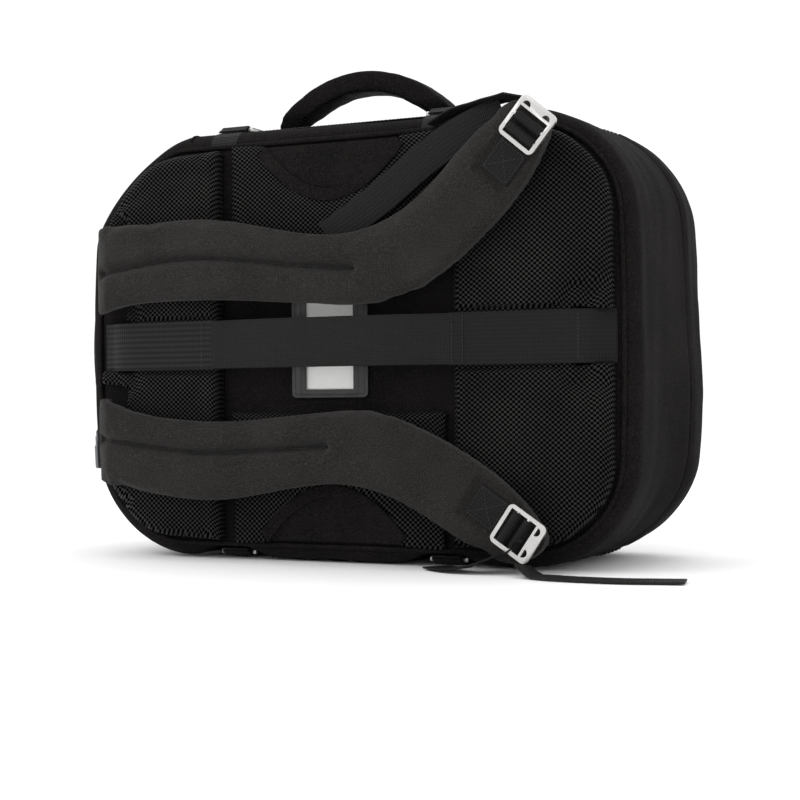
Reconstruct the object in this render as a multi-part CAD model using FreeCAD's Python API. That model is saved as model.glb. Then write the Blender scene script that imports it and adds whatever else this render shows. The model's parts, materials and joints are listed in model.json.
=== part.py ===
"""Travel backpack lying on its long side, as it is set on top of a wheeled case.

Frame: millimetres. -X is the top of the pack as worn, +X its bottom, -Y the side against the
wearer's back, +Y the front. +Z is up while the pack lies on its side: the padded carry handle is
on the upper long side, and the opposite long side rests on z = 0. The origin is the centre of
that resting side.

The rear shell holds the laptop sleeve and the main compartment. The front cover is a shallow
tray that opens on a fabric hinge at the pack's bottom once the main zipper is undone.
"""

import FreeCAD, Part
import math
import os

from FreeCAD import Vector

# ---- driving dimensions -------------------------------------------------------------------
body_length = 468.0        # X, between the end panels at their seams
body_width = 350.0         # Z, from the resting side to the carry side
back_depth = 115.0         # Y, back panel to the main zipper
cover_depth = 61.0         # Y, main zipper to the front panel
wall = 6.0                 # fabric, foam and lining of every side wall
panel_wall = 4.0           # back panel and front panel
top_corner = 86.0          # outline radius at the pack's top
bottom_corner = 82.0       # outline radius at the pack's bottom
top_bulge = 12.0           # how far the end panels bow outwards
bottom_bulge = 8.0
back_rim = 12.0            # rounding between back panel and side walls
front_rim = 30.0
seam_inset = 14.0          # back panel seam, in from the side walls

y_zip = 20.0               # middle of the main zipper
zip_gap = 5.0              # slot that the main zipper fills
clearance = 0.3            # between pieces of different bodies
skin_gap = 1.0             # air between a soft piece and what it lies on

pad_thickness = 12.0       # spacer mesh over foam
strip_thickness = 5.0      # thinner mesh beside the trolley channel
channel_start = -105.0     # X, recessed channel for the trolley tubes
channel_end = 91.0
channel_half = 52.0        # half height of the plain middle field

trolley_width = 40.0       # webbing that slips over a trolley handle
trolley_thickness = 1.6
trolley_stand_off = 13.0   # elastic middle, off the pads
web_landing = 36.0         # from an end panel to where the webbing has risen onto its pad
trolley_seam_top = -120.0  # X of the seams between webbing and elastic
trolley_seam_bottom = 105.0

strap_thickness = 13.0     # padded shoulder strap
strap_gap = 3.0            # room for webbing between pads and strap
strap_fold = 24.0          # length over which the strap curves down to its seam

# long edges of the shoulder straps: from the seam at the pack's top, and in from the long side
upper_far = [(0, 77), (53, 71), (124, 70), (197, 83), (243, 86), (285, 74), (327, 44), (371, 10)]
upper_tip = (401, 3)
upper_near = [(415, 29), (395, 65), (357, 105), (311, 137), (253, 150), (169, 147), (107, 144),
              (0, 151)]
lower_far = [(0, 66), (55, 51), (129, 45), (201, 56), (253, 57), (293, 44), (327, 27), (363, 13)]
lower_tip = (395, 11)
lower_near = [(411, 29), (395, 53), (361, 82), (319, 106), (273, 123), (199, 123), (119, 118),
              (57, 123), (0, 135)]

webbing = 25.0             # adjusting webbing
webbing_thickness = 1.4
buckle_clearance = 1.0     # each side of the webbing in a window
buckle_rail = 3.2
buckle_thickness = 3.2
buckle_length = 34.2
bar_radius = 1.8
bar_spacing = 9.8          # from a ladder lock's fixed bar to its adjusting bar
rim_back = 7.2             # from that fixed bar back to the middle of its rim
rim_width = 3.0
grip_depth = 8.5           # grip plate beyond a ladder lock's window
lock_slot_radius = 3.4     # half-round slots in that plate
patch_length = 38.0        # webbing sewn to a strap ahead of its ladder lock
loop_clearance = 0.4       # webbing loop round a bar
buckle_angle = 50.0        # direction of the upper strap's end, from +X towards +Z
lower_angle = -34.0        # direction of the lower strap's end
upper_buckle = (392.0, 27.7)        # fixed bar, measured as the straps' edges are
lower_buckle = (380.7, 35.1)
tail_path = [(223, 91), (271, 67), (325, 35), (370, 19)]    # upper tail behind its strap

handle_span = 150.0        # padded carry handle, between its feet
handle_rise = 38.0
handle_thickness = 18.0
handle_width = 28.0
handle_x = -12.0
handle_y = -26.0
grab_span = 142.0          # flatter handle on the pack's top
grab_rise = 15.0
grab_y = -46.0
grab_thickness = 8.0
grab_width = 26.0
foot_radius = 3.0          # rolled webbing at a handle's feet
foot_grip = 20.0           # its length
tab_thickness = 2.0
tab_length = 34.0
tab_width = 34.0

laptop_zip_y = -78.0
laptop_slider_drop = 74.0  # below the pack's middle
laptop_travel = 40.0       # straight stretch that its slider runs on
main_slider_x = 27.0       # the two main sliders, either side of the middle
main_zip_proud = 1.0
zip_tape = 8.0             # width of a coil zipper's visible tape
zip_proud = 1.6
slider_length = 11.0
slider_width = 8.0
slider_height = 5.0
slider_body = 2.2          # without the bridge that holds the pull
pin_height = 3.6
pin_reach = 2.0
pull_length = 27.0
pull_width = 8.5
pull_thickness = 2.6

card_height = 74.0
card_width = 42.0
holder_height = 88.0
holder_width = 68.0
holder_x = -13.0
waist_x = -10.0            # lens-shaped plain patches at the waist
waist_half = 62.0
waist_rise = 38.0

divider_y = -56.0
divider_thickness = 6.0
divider_mouth = 42.0       # open at the pack's top
laptop_gap = 0.5

pocket_depth = 15.0        # front pocket
pocket_wall = 3.0
pocket_mouth = 9.0         # height of its mouth behind the zipper
pocket_length = 300.0
pocket_height = 268.0
pocket_shift = 34.0
pocket_corner = 45.0

lash_from_top = (124.0, 314.0)    # the lash straps on each long side
lash_recess = 8.0                 # the resting side is pressed in round its lash straps
lash_margin = 2.5                 # room round the buckle in that recess
lash_bar = 20.0                   # Y from the back panel to the buckle's first bar
lash_end = 44.0                   # Y from the back panel to the end of its loop
lash_buckle_length = 22.0

# ---- derived places -----------------------------------------------------------------------
y_back = y_zip - back_depth
y_front = y_zip + cover_depth
centre_z = body_width / 2
x_top = -body_length / 2
x_bottom = body_length / 2
shell_edge = y_zip - zip_gap / 2
cover_edge = y_zip + zip_gap / 2
pad_face = y_back - pad_thickness
strap_inner = pad_face - strap_gap
strap_outer = strap_inner - strap_thickness
window = webbing + 2 * buckle_clearance
zip_break = webbing / 2 + 5 * clearance    # half the gap a zipper leaves for a lash strap
buckle_width = window + 2 * buckle_rail
bar_height = 5.8           # buckle bar above the strap's face
strap_root = x_top + seam_inset - top_bulge * 0.8
lash_positions = [x_top + place for place in lash_from_top]
top_split = x_top + top_corner + 5
bottom_split = x_bottom - bottom_corner - 5
anchor_start = lash_positions[1] + 28
anchor_upper = [(anchor_start, y_back + 24), (anchor_start + 20, y_back + 8),
                (strap_root + upper_buckle[0] - 15, strap_inner)]
anchor_lower = [(anchor_start - 24, y_back - 14), (anchor_start + 2, strap_outer - 2),
                (strap_root + lower_buckle[0] - 20, strap_outer - 6)]


# ---- helpers ------------------------------------------------------------------------------
def box(x0, x1, y0, y1, z0, z1):
    return Part.makeBox(x1 - x0, y1 - y0, z1 - z0, Vector(x0, y0, z0))


def edges_along_y(shape):
    """Edges whose two ends differ in y only."""
    found = []
    for edge in shape.Edges:
        a, b = (v.Point for v in (edge.Vertexes[0], edge.Vertexes[-1]))
        if abs(a.x - b.x) < 1e-6 and abs(a.z - b.z) < 1e-6 and abs(a.y - b.y) > 1e-6:
            found.append(edge)
    return found


def edges_at(shape, axis, value):
    """Edges that lie wholly in the plane where that coordinate has that value."""
    found = []
    for edge in shape.Edges:
        box_of = edge.BoundBox
        low, high = getattr(box_of, axis + "Min"), getattr(box_of, axis + "Max")
        if abs(low - value) < 1e-4 and abs(high - value) < 1e-4:
            found.append(edge)
    return found


def body_slab(inset, y0, y1, rim_y=None, rim=0.0):
    """The pack's outline, moved in by inset, between two depths, with its rim rounded."""
    x0, x1 = x_top + inset, x_bottom - inset
    z0, z1 = inset, body_width - inset
    corners = [Vector(x0, y0, z0), Vector(x0, y0, z1), Vector(x1, y0, z1), Vector(x1, y0, z0)]
    edges = [
        Part.Arc(corners[0], Vector(x0 - top_bulge, y0, centre_z), corners[1]).toShape(),
        Part.makeLine(corners[1], corners[2]),
        Part.Arc(corners[2], Vector(x1 + bottom_bulge, y0, centre_z), corners[3]).toShape(),
        Part.makeLine(corners[3], corners[0]),
    ]
    solid = Part.Face(Part.Wire(edges)).extrude(Vector(0, y1 - y0, 0))
    for radius, side in ((top_corner, -1), (bottom_corner, 1)):
        picked = [e for e in edges_along_y(solid) if e.Vertexes[0].X * side > 0]
        solid = solid.makeFillet(radius - inset, picked)
    if rim:
        solid = solid.makeFillet(rim, edges_at(solid, "Y", rim_y))
    return solid


def upright(shape):
    """The same piece on the other half of the pack, mirrored about its middle."""
    return shape.mirror(Vector(0, 0, centre_z), Vector(0, 0, 1))


def rounded_plate(length, width, thickness, radius, x=0.0, y=0.0, z=0.0):
    """A plate centred on x and z, from y towards -Y, with its four corners rounded."""
    plate = box(x - length / 2, x + length / 2, y - thickness, y, z - width / 2, z + width / 2)
    return plate.makeFillet(radius, edges_along_y(plate))


def placed(shape, origin, u, v, w):
    """Moves a piece from local axes to the pack's: local x, y, z become u, v, w."""
    matrix = FreeCAD.Matrix(
        u.x, v.x, w.x, origin.x,
        u.y, v.y, w.y, origin.y,
        u.z, v.z, w.z, origin.z,
        0, 0, 0, 1,
    )
    moved = shape.copy()
    moved.Placement = FreeCAD.Placement(matrix)
    return moved


def strip(points, thickness, width, z_middle):
    """Webbing of one width that follows a path seen from above, with rounded bends."""
    half = thickness / 2
    sides = []
    for sign in (1, -1):
        side = []
        for i, point in enumerate(points):
            before = points[max(i - 1, 0)]
            after = points[min(i + 1, len(points) - 1)]
            along = Vector(after[0] - before[0], after[1] - before[1], 0).normalize()
            side.append(Vector(point[0] - along.y * half * sign, point[1] + along.x * half * sign,
                               z_middle - width / 2))
        sides.append(side)
    curves = []
    for side in sides:
        curve = Part.BSplineCurve()
        curve.interpolate(side)
        curves.append(curve.toShape())
    ends = [Part.makeLine(sides[0][i], sides[1][i]) for i in (0, -1)]
    wire = Part.Wire(Part.__sortEdges__([curves[0], ends[1], curves[1], ends[0]]))
    return Part.Face(wire).extrude(Vector(0, 0, width))


# ---- shell --------------------------------------------------------------------------------
def rear_shell():
    """Back panel and the four side walls of the rear half, as separate solids."""
    outer = body_slab(0, y_back, shell_edge, y_back, back_rim)
    inner = body_slab(wall, y_back + panel_wall, shell_edge, y_back + panel_wall, back_rim - wall)
    shell = outer.cut(inner)
    panel_block = body_slab(seam_inset, y_back - 1, y_back + panel_wall)
    far = body_length
    made = {"back_panel": shell.common(panel_block)}
    ring = shell.cut(panel_block)
    made["top_end_panel"] = ring.common(box(-far, top_split, y_back, y_front, -1, body_width + 1))
    made["bottom_end_panel"] = ring.common(
        box(bottom_split, far, y_back, y_front, -1, body_width + 1))
    middle = (top_split, bottom_split, y_back, y_front)
    made["carry_side_panel"] = ring.common(box(*middle, centre_z, body_width + 1))
    made["rest_side_panel"] = ring.common(box(*middle, -1, centre_z))
    return made


def frame_sheet():
    """Stiffening sheet behind the back panel's foam."""
    start = y_back + panel_wall + laptop_gap
    return body_slab(seam_inset + 12, start, start + 1.5)


def laptop_divider():
    """Padded wall of the laptop sleeve, sewn to three walls and open at the pack's top."""
    plate = body_slab(wall, divider_y, divider_y + divider_thickness)
    return plate.common(box(x_top + wall + divider_mouth, body_length, y_back, y_front,
                            -1, body_width + 1))


def hinge_fabric():
    """Fabric that joins the cover to the rear shell at the pack's bottom."""
    ring = body_slab(0, shell_edge, cover_edge - clearance)
    ring = ring.cut(body_slab(wall / 2, shell_edge - 1, cover_edge + 1))
    return ring.common(box(bottom_split + 45, body_length, y_back, y_front, -1, body_width + 1))


def zip_chain(y_middle, width, out, inset, x_limit, z_low):
    """A zipper that follows the outline, proud of the wall by out and set in by inset."""
    low, high = y_middle - width / 2, y_middle + width / 2
    ring = body_slab(-out, low, high).cut(body_slab(inset, low - 1, high + 1))
    return ring.common(box(-body_length, x_limit, low, high, z_low, body_width + out + 1))


# ---- back panel ---------------------------------------------------------------------------
def back_pads():
    """Mesh pads above and below the trolley channel, and the mesh strips beside it."""
    field = body_slab(seam_inset + 2, pad_face, y_back)
    pads = {
        "upper_back_pad": box(-body_length, channel_start, pad_face - 1, y_back, 0, body_width),
        "lumbar_pad": box(channel_end, body_length, pad_face - 1, y_back, 0, body_width),
    }
    made = {}
    for name, region in pads.items():
        pad = field.common(region)
        pad = pad.makeFillet(pad_thickness / 2, edges_at(pad, "Y", pad_face))
        for notch in pad_notches():
            pad = pad.cut(notch)
        made[name] = pad
    low_field = body_slab(seam_inset + 2, y_back - strip_thickness, y_back)
    beside = low_field.common(box(channel_start + skin_gap, channel_end - skin_gap,
                                  pad_face, y_back, 0, centre_z - channel_half))
    beside = beside.cut(waist_block(skin_gap))
    made["side_mesh_strips"] = Part.makeCompound([beside, upright(beside)])
    patch = waist_block(0).common(body_slab(seam_inset + 2, y_back - strip_thickness + 1, y_back))
    made["waist_patches"] = Part.makeCompound([patch, upright(patch)])
    return made


def pad_notches():
    """Where straps and webbing come down beside a pad to their seams."""
    low, high = pad_face - 1, y_back
    inner = strap_root + strap_fold
    half = trolley_width / 2 + skin_gap
    notches = [box(-body_length, x_top + web_landing, low, high, centre_z - half, centre_z + half),
               box(x_bottom - web_landing, body_length, low, high, centre_z - half,
                   centre_z + half)]
    room = 6 * skin_gap
    for far_side, near_side, upper in ((upper_far, upper_near, True),
                                       (lower_far, lower_near, False)):
        ends = sorted(from_seam(point, upper)[1] for point in (far_side[0], near_side[-1]))
        notches.append(box(-body_length, inner, low, high, ends[0] - room, ends[1] + room))
    return notches


def waist_block(grow):
    """Lens-shaped block where plain fabric dips into the mesh on the lower edge."""
    half, foot = waist_half + grow, seam_inset
    ends = Vector(waist_x - half, pad_face, foot), Vector(waist_x + half, pad_face, foot)
    top = Vector(waist_x, pad_face, foot + waist_rise + grow)
    arc = Part.Arc(ends[0], top, ends[1]).toShape()
    wire = Part.Wire([arc, Part.makeLine(ends[1], ends[0])])
    return Part.Face(wire).extrude(Vector(0, pad_thickness, 0))


def card_holder():
    """Frame with a window, the clear sheet and the blank card behind it."""
    frame = rounded_plate(holder_width, holder_height, 2.4, 4, holder_x, y_back, centre_z)
    pocket = rounded_plate(card_width + 8, card_height + 8, 1.2, 2, holder_x, y_back, centre_z)
    opening = box(holder_x - card_width / 2, holder_x + card_width / 2, y_back - 3, y_back,
                  centre_z - card_height / 2, centre_z + card_height / 2)
    card = rounded_plate(card_width + 7, card_height + 7, 0.5, 1.5, holder_x, y_back, centre_z)
    sheet = rounded_plate(card_width + 7, card_height + 7, 0.6, 1.5, holder_x, y_back - 0.5,
                          centre_z)
    return {
        "card_holder_frame": frame.cut(pocket).cut(opening),
        "card": card,
        "card_window": sheet,
    }


def trolley_strap():
    """Webbing, elastic and webbing, sewn end to end over the trolley channel."""
    ends_y = y_back - trolley_thickness
    over_pad = pad_face - skin_gap
    bowed = pad_face - trolley_stand_off
    ramp = 28.0
    top_web = [(x_top + seam_inset - 6, ends_y), (x_top + web_landing - 2, over_pad),
               (channel_start - ramp * 1.4, over_pad - 1), (trolley_seam_top, over_pad - 2)]
    elastic = [(trolley_seam_top, over_pad - 2), (channel_start + ramp, bowed),
               ((channel_start + channel_end) / 2, bowed - 1), (channel_end - ramp, bowed),
               (trolley_seam_bottom, over_pad - 2)]
    bottom_web = [(trolley_seam_bottom, over_pad - 2), (channel_end + ramp * 1.6, over_pad - 1),
                  (x_bottom - web_landing + 2, over_pad), (x_bottom - seam_inset + 4, ends_y)]
    return {
        "trolley_web_top": strip(top_web, trolley_thickness, trolley_width, centre_z),
        "trolley_elastic": strip(elastic, trolley_thickness, trolley_width - 1, centre_z),
        "trolley_web_bottom": strip(bottom_web, trolley_thickness, trolley_width, centre_z),
    }


# ---- shoulder straps ----------------------------------------------------------------------
def strap_axes(angle):
    """Local axes at a strap's end: along the strap, across it, and off its face."""
    turn = math.radians(angle)
    return (Vector(math.cos(turn), 0, math.sin(turn)),
            Vector(-math.sin(turn), 0, math.cos(turn)), Vector(0, -1, 0))


def from_seam(point, upper):
    """x and z of a point measured from the top seam and in from a long side."""
    return strap_root + point[0], body_width - point[1] if upper else point[1]


def at_buckle(shape, place, angle, upper):
    x, z = from_seam(place, upper)
    return placed(shape, Vector(x, strap_outer - bar_height, z), *strap_axes(angle))


def smooth_edge(points):
    curve = Part.BSplineCurve()
    curve.interpolate(points)
    return curve.toShape()


def shoulder_strap(far_side, near_side, tip, upper):
    """Padded strap between its two long edges and its tip."""
    def at(point):
        x, z = from_seam(point, upper)
        return Vector(x, y_back - 60, z)

    edges = [smooth_edge([at(p) for p in far_side]),
             Part.Arc(at(far_side[-1]), at(tip), at(near_side[0])).toShape(),
             smooth_edge([at(p) for p in near_side]),
             Part.makeLine(at(near_side[-1]), at(far_side[0]))]
    outline = Part.Face(Part.Wire(edges)).extrude(Vector(0, 80, 0))
    return outline.common(strap_profile(strap_root + tip[0] + 40))


def strap_profile(x_end):
    """The strap seen from its edge: flat on the pads, curved down to the seam at the top."""
    seam_x = strap_root + clearance
    flat_x = seam_x + strap_fold
    seam_y = y_back - 2.0
    inner_x = seam_x + strap_thickness * 0.6
    outside = Part.Arc(Vector(flat_x, strap_outer, 0),
                       Vector(seam_x + strap_fold * 0.2, strap_outer + strap_thickness * 0.55, 0),
                       Vector(seam_x, seam_y, 0)).toShape()
    inside = Part.Arc(Vector(inner_x, seam_y, 0),
                      Vector(inner_x + 3.5, strap_inner + 3.5, 0),
                      Vector(flat_x - 6, strap_inner, 0)).toShape()
    wire = Part.Wire([
        outside, Part.makeLine(Vector(seam_x, seam_y, 0), Vector(inner_x, seam_y, 0)), inside,
        Part.makeLine(Vector(flat_x - 6, strap_inner, 0), Vector(x_end, strap_inner, 0)),
        Part.makeLine(Vector(x_end, strap_inner, 0), Vector(x_end, strap_outer, 0)),
        Part.makeLine(Vector(x_end, strap_outer, 0), Vector(flat_x, strap_outer, 0))])
    return Part.Face(wire).extrude(Vector(0, 0, 2 * body_width)).translated(
        Vector(0, 0, -body_width / 2))


def strap_patch():
    """Webbing sewn to the strap's face, looped round the ladder lock's fixed bar."""
    inner = bar_radius + loop_clearance
    outer = inner + webbing_thickness
    across = Vector(0, 1, 0)
    start = Vector(0, -webbing / 2, 0)
    ring = Part.makeCylinder(outer, webbing, start, across)
    tab = Part.makeBox(patch_length, webbing, webbing_thickness,
                       Vector(-patch_length, -webbing / 2, -bar_height))
    foot = Part.makeBox(outer * 0.9, webbing, bar_height - inner * 0.6,
                        Vector(-outer * 0.9, -webbing / 2, -bar_height))
    hole = Part.makeCylinder(inner, webbing + 2, start - across, across)
    return ring.fuse(foot).fuse(tab).cut(hole).removeSplitter()


def ladder_lock():
    """Metal frame with a rim, a fixed bar, an adjusting bar and a slotted grip plate."""
    half = buckle_thickness / 2
    start_x = -rim_back - rim_width / 2
    end_x = start_x + buckle_length
    frame = Part.makeBox(buckle_length, buckle_width, buckle_thickness,
                         Vector(start_x, -buckle_width / 2, -half))
    uprights = [e for e in frame.Edges
                if abs(e.Vertexes[0].Z - e.Vertexes[-1].Z) > 1e-6]
    frame = frame.makeFillet(4.5, uprights)
    opening = Part.makeBox(buckle_length - rim_width - grip_depth, window,
                           buckle_thickness * 2,
                           Vector(start_x + rim_width, -window / 2, -buckle_thickness))
    frame = frame.cut(opening)
    across, start = Vector(0, 1, 0), -buckle_width / 2 + buckle_rail / 2
    for place in (0.0, bar_spacing):
        frame = frame.fuse(Part.makeCylinder(bar_radius, buckle_width - buckle_rail,
                                             Vector(place, start, 0), across))
    slot_x = end_x - 6.5
    for side in (-1, 1):
        slot = Part.makeCylinder(lock_slot_radius, buckle_thickness * 2,
                                 Vector(slot_x, side * (window / 2 - 4), -buckle_thickness))
        slot = slot.common(Part.makeBox(5, 20, 20, Vector(slot_x, side * window / 2 - 10, -10)))
        frame = frame.cut(slot)
    return frame.removeSplitter()


def web_wrap():
    """The turn of adjusting webbing over the ladder lock's middle bar."""
    place = bar_spacing
    inner = bar_radius + 0.1
    outer = inner + webbing_thickness
    across, start = Vector(0, 1, 0), -webbing / 2
    turn = Part.makeCylinder(outer, webbing, Vector(place, start, 0), across)
    legs = Part.makeBox(2 * outer, webbing, bar_height - 0.6,
                        Vector(place - outer, start, -bar_height + 0.6))
    inside = Part.makeCylinder(inner, webbing + 2, Vector(place, start - 1, 0), across)
    between = Part.makeBox(2 * inner, webbing + 2, bar_height + 1,
                           Vector(place - inner, start - 1, -bar_height - 1))
    return turn.fuse(legs).cut(inside).cut(between).removeSplitter()


def band(points, normal, thickness):
    """Flat webbing of the standard width along a smooth path, its face towards normal."""
    middle = Part.BSplineCurve()
    middle.interpolate(points)
    first, last = middle.FirstParameter, middle.LastParameter
    steps = 8
    sides = []
    for sign in (1, -1):
        side = []
        for i in range(steps + 1):
            at = first + (last - first) * i / steps
            across = middle.tangent(at)[0].cross(normal).normalize()
            side.append(middle.value(at) + across * (sign * webbing / 2))
        sides.append(side)
    edges = [smooth_edge(sides[0]), Part.makeLine(sides[0][-1], sides[1][-1]),
             smooth_edge(sides[1][::-1]), Part.makeLine(sides[1][0], sides[0][0])]
    return Part.Face(Part.Wire(edges)).extrude(normal * thickness)


def tail_web_upper():
    """Free end of the upper adjusting webbing, tucked flat behind the strap."""
    y = strap_inner + clearance
    places = [from_seam(point, True) for point in tail_path]
    return band([Vector(x, y, z) for x, z in places], Vector(0, 1, 0), webbing_thickness)


def tail_web_lower():
    """Free end of the lower adjusting webbing, lying on the floor below its buckle."""
    x, y = strap_root + lower_buckle[0] + 16, strap_outer - 6
    points = [(x, y), (x + 34, y - 14), (x + 76, y - 14), (x + 112, y - 2)]
    return band([Vector(px, py, clearance) for px, py in points], Vector(0, 0, 1),
                webbing_thickness)


def anchor_web(points, height):
    """Adjusting webbing, its faces up and down, from the pack's side to behind the lock."""
    return band([Vector(x, y, height) for x, y in points], Vector(0, 0, 1), webbing_thickness)


# ---- handles ------------------------------------------------------------------------------
def handle_arch(span, rise, thickness, width):
    """Padded arch in local axes: along x, out along z, with its pivot line at z = 0."""
    half = span / 2
    radius = (half * half + rise * rise) / (2 * rise)
    middle_z = rise - radius
    low, high, side_y = rise - thickness / 2, rise + thickness / 2, width / 2
    section = Part.makePolygon([
        Vector(0, -side_y, low), Vector(0, side_y, low), Vector(0, side_y, high),
        Vector(0, -side_y, high), Vector(0, -side_y, low)])
    centre = Vector(0, 0, middle_z)
    sweep = math.degrees(math.asin(min(1.0, half / radius)))
    face = Part.Face(section)
    arch = face.revolve(centre, Vector(0, 1, 0), sweep)
    arch = arch.fuse(face.revolve(centre, Vector(0, 1, 0), -sweep)).removeSplitter()
    reach = half + thickness
    arch = arch.common(Part.makeBox(2 * reach, 2 * width, rise + thickness,
                                    Vector(-reach, -width, 0)))
    shoulder = width * 0.6
    taper = Part.makePolygon([
        Vector(-reach, -foot_radius, 0), Vector(-reach, foot_radius, 0),
        Vector(-reach, side_y + 1, shoulder), Vector(-reach, side_y + 1, rise + thickness),
        Vector(-reach, -side_y - 1, rise + thickness), Vector(-reach, -side_y - 1, shoulder),
        Vector(-reach, -foot_radius, 0)])
    arch = arch.common(Part.Face(Part.Wire(taper)).extrude(Vector(2 * reach, 0, 0)))
    foot_length = foot_grip
    for side in (-1, 1):
        start = side * half - foot_length / 2
        arch = arch.fuse(Part.makeCylinder(foot_radius, foot_length, Vector(start, 0, 0),
                                           Vector(1, 0, 0)))
    return arch.removeSplitter()


def handle_tabs(span):
    """Two sewn tabs under a handle's feet, in the same local axes."""
    drop = foot_radius + clearance
    tabs = []
    for side in (-1, 1):
        tabs.append(Part.makeBox(
            tab_length, tab_width, tab_thickness,
            Vector(side * span / 2 - tab_length / 2, -tab_width / 2, -drop - tab_thickness)))
    return Part.makeCompound(tabs)


def on_carry_side(shape):
    origin = Vector(handle_x, handle_y, body_width + tab_thickness + foot_radius + clearance)
    return placed(shape, origin, Vector(1, 0, 0), Vector(0, 1, 0), Vector(0, 0, 1))


def bow(bulge, off_centre):
    """How far a bowed end panel stands out, at a distance from its middle."""
    half = body_width / 2
    radius = (half * half + bulge * bulge) / (2 * bulge)
    return math.sqrt(radius * radius - off_centre * off_centre) - (radius - bulge)


def grab_origin():
    face = x_top - bow(top_bulge, grab_span / 2 - tab_length / 2)
    return Vector(face - tab_thickness - foot_radius - clearance, grab_y, centre_z)


def on_top_end(shape):
    return placed(shape, grab_origin(), Vector(0, 0, 1), Vector(0, 1, 0), Vector(-1, 0, 0))


def grab_tabs():
    """Tabs of the top handle, reaching back to the bowed end panel."""
    block = on_top_end(handle_tabs(grab_span))
    deep = []
    for tab in block.Solids:
        b = tab.BoundBox
        deep.append(box(b.XMin, x_top + 3, b.YMin, b.YMax, b.ZMin, b.ZMax)
                    .cut(body_slab(0, b.YMin - 1, b.YMax + 1)))
    return Part.makeCompound(deep)


# ---- zippers ------------------------------------------------------------------------------
def slider():
    """Slider in local axes: travels along x, stands off along z."""
    body = Part.makeBox(slider_length, slider_width, slider_body,
                        Vector(-slider_length / 2, -slider_width / 2, 0))
    uprights = [e for e in body.Edges if abs(e.Vertexes[0].Z - e.Vertexes[-1].Z) > 1e-6]
    body = body.makeFillet(2.4, uprights)
    bridge = Part.makeBox(slider_length * 0.62, 2.4, slider_height,
                          Vector(-slider_length * 0.31, -1.2, 0))
    eye = Part.makeCylinder(1.1, 6, Vector(pin_reach, -3, pin_height),
                            Vector(0, 1, 0))
    return body.fuse(bridge).cut(eye).removeSplitter()


def pull():
    """Pull tab in local axes: pivots on a pin along y at the origin, hangs along +x."""
    pin = Part.makeCylinder(0.8, pull_width * 0.6, Vector(0, -pull_width * 0.3, 0),
                            Vector(0, 1, 0))
    arms = []
    for side in (-1, 1):
        arms.append(Part.makeBox(7.5, 1.4, 1.8,
                                 Vector(-0.9, side * (pull_width * 0.3) - 0.7, -0.9)))
    near, far = 6.2, pull_length
    tab = Part.makeBox(far - near, pull_width, pull_thickness,
                       Vector(near, -pull_width / 2, -pull_thickness / 2))
    corners = [e for e in tab.Edges if abs(e.Vertexes[0].Z - e.Vertexes[-1].Z) > 1e-6]
    tab = tab.makeFillet(pull_width * 0.32, corners)
    return tab.fuse(arms[0]).fuse(arms[1]).fuse(pin).removeSplitter()


def zipper(origin, along, out):
    """A slider and its pull at a place on a zipper; the pull lies along the travel."""
    across = out.cross(along)
    pin = origin + along * pin_reach + out * pin_height
    return placed(slider(), origin, along, across, out), placed(pull(), pin, along, across, out)


def slider_places():
    """Each slider's place, the way its pull lies, and the way it faces."""
    drop = laptop_slider_drop
    end_face = x_top - bow(top_bulge, drop) - zip_proud - clearance
    # the chord of the bowed end panel that the slider runs along
    slant = bow(top_bulge, drop - laptop_travel) - bow(top_bulge, drop)
    down = Vector(slant, 0, -laptop_travel).normalize()
    side = body_width + main_zip_proud + clearance
    up, front = Vector(0, 0, 1), Vector(0, 1, 0)
    return {
        "laptop": (Vector(end_face, laptop_zip_y, centre_z - drop), down,
                   front.cross(down)),
        "main_a": (Vector(-main_slider_x, y_zip, side), Vector(-1, 0, 0), up),
        "main_b": (Vector(main_slider_x, y_zip, side), Vector(1, 0, 0), up),
        "pocket": (Vector(pocket_zip_x(), y_front + zip_proud + clearance, centre_z - 30), -up,
                   front),
    }


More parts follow.
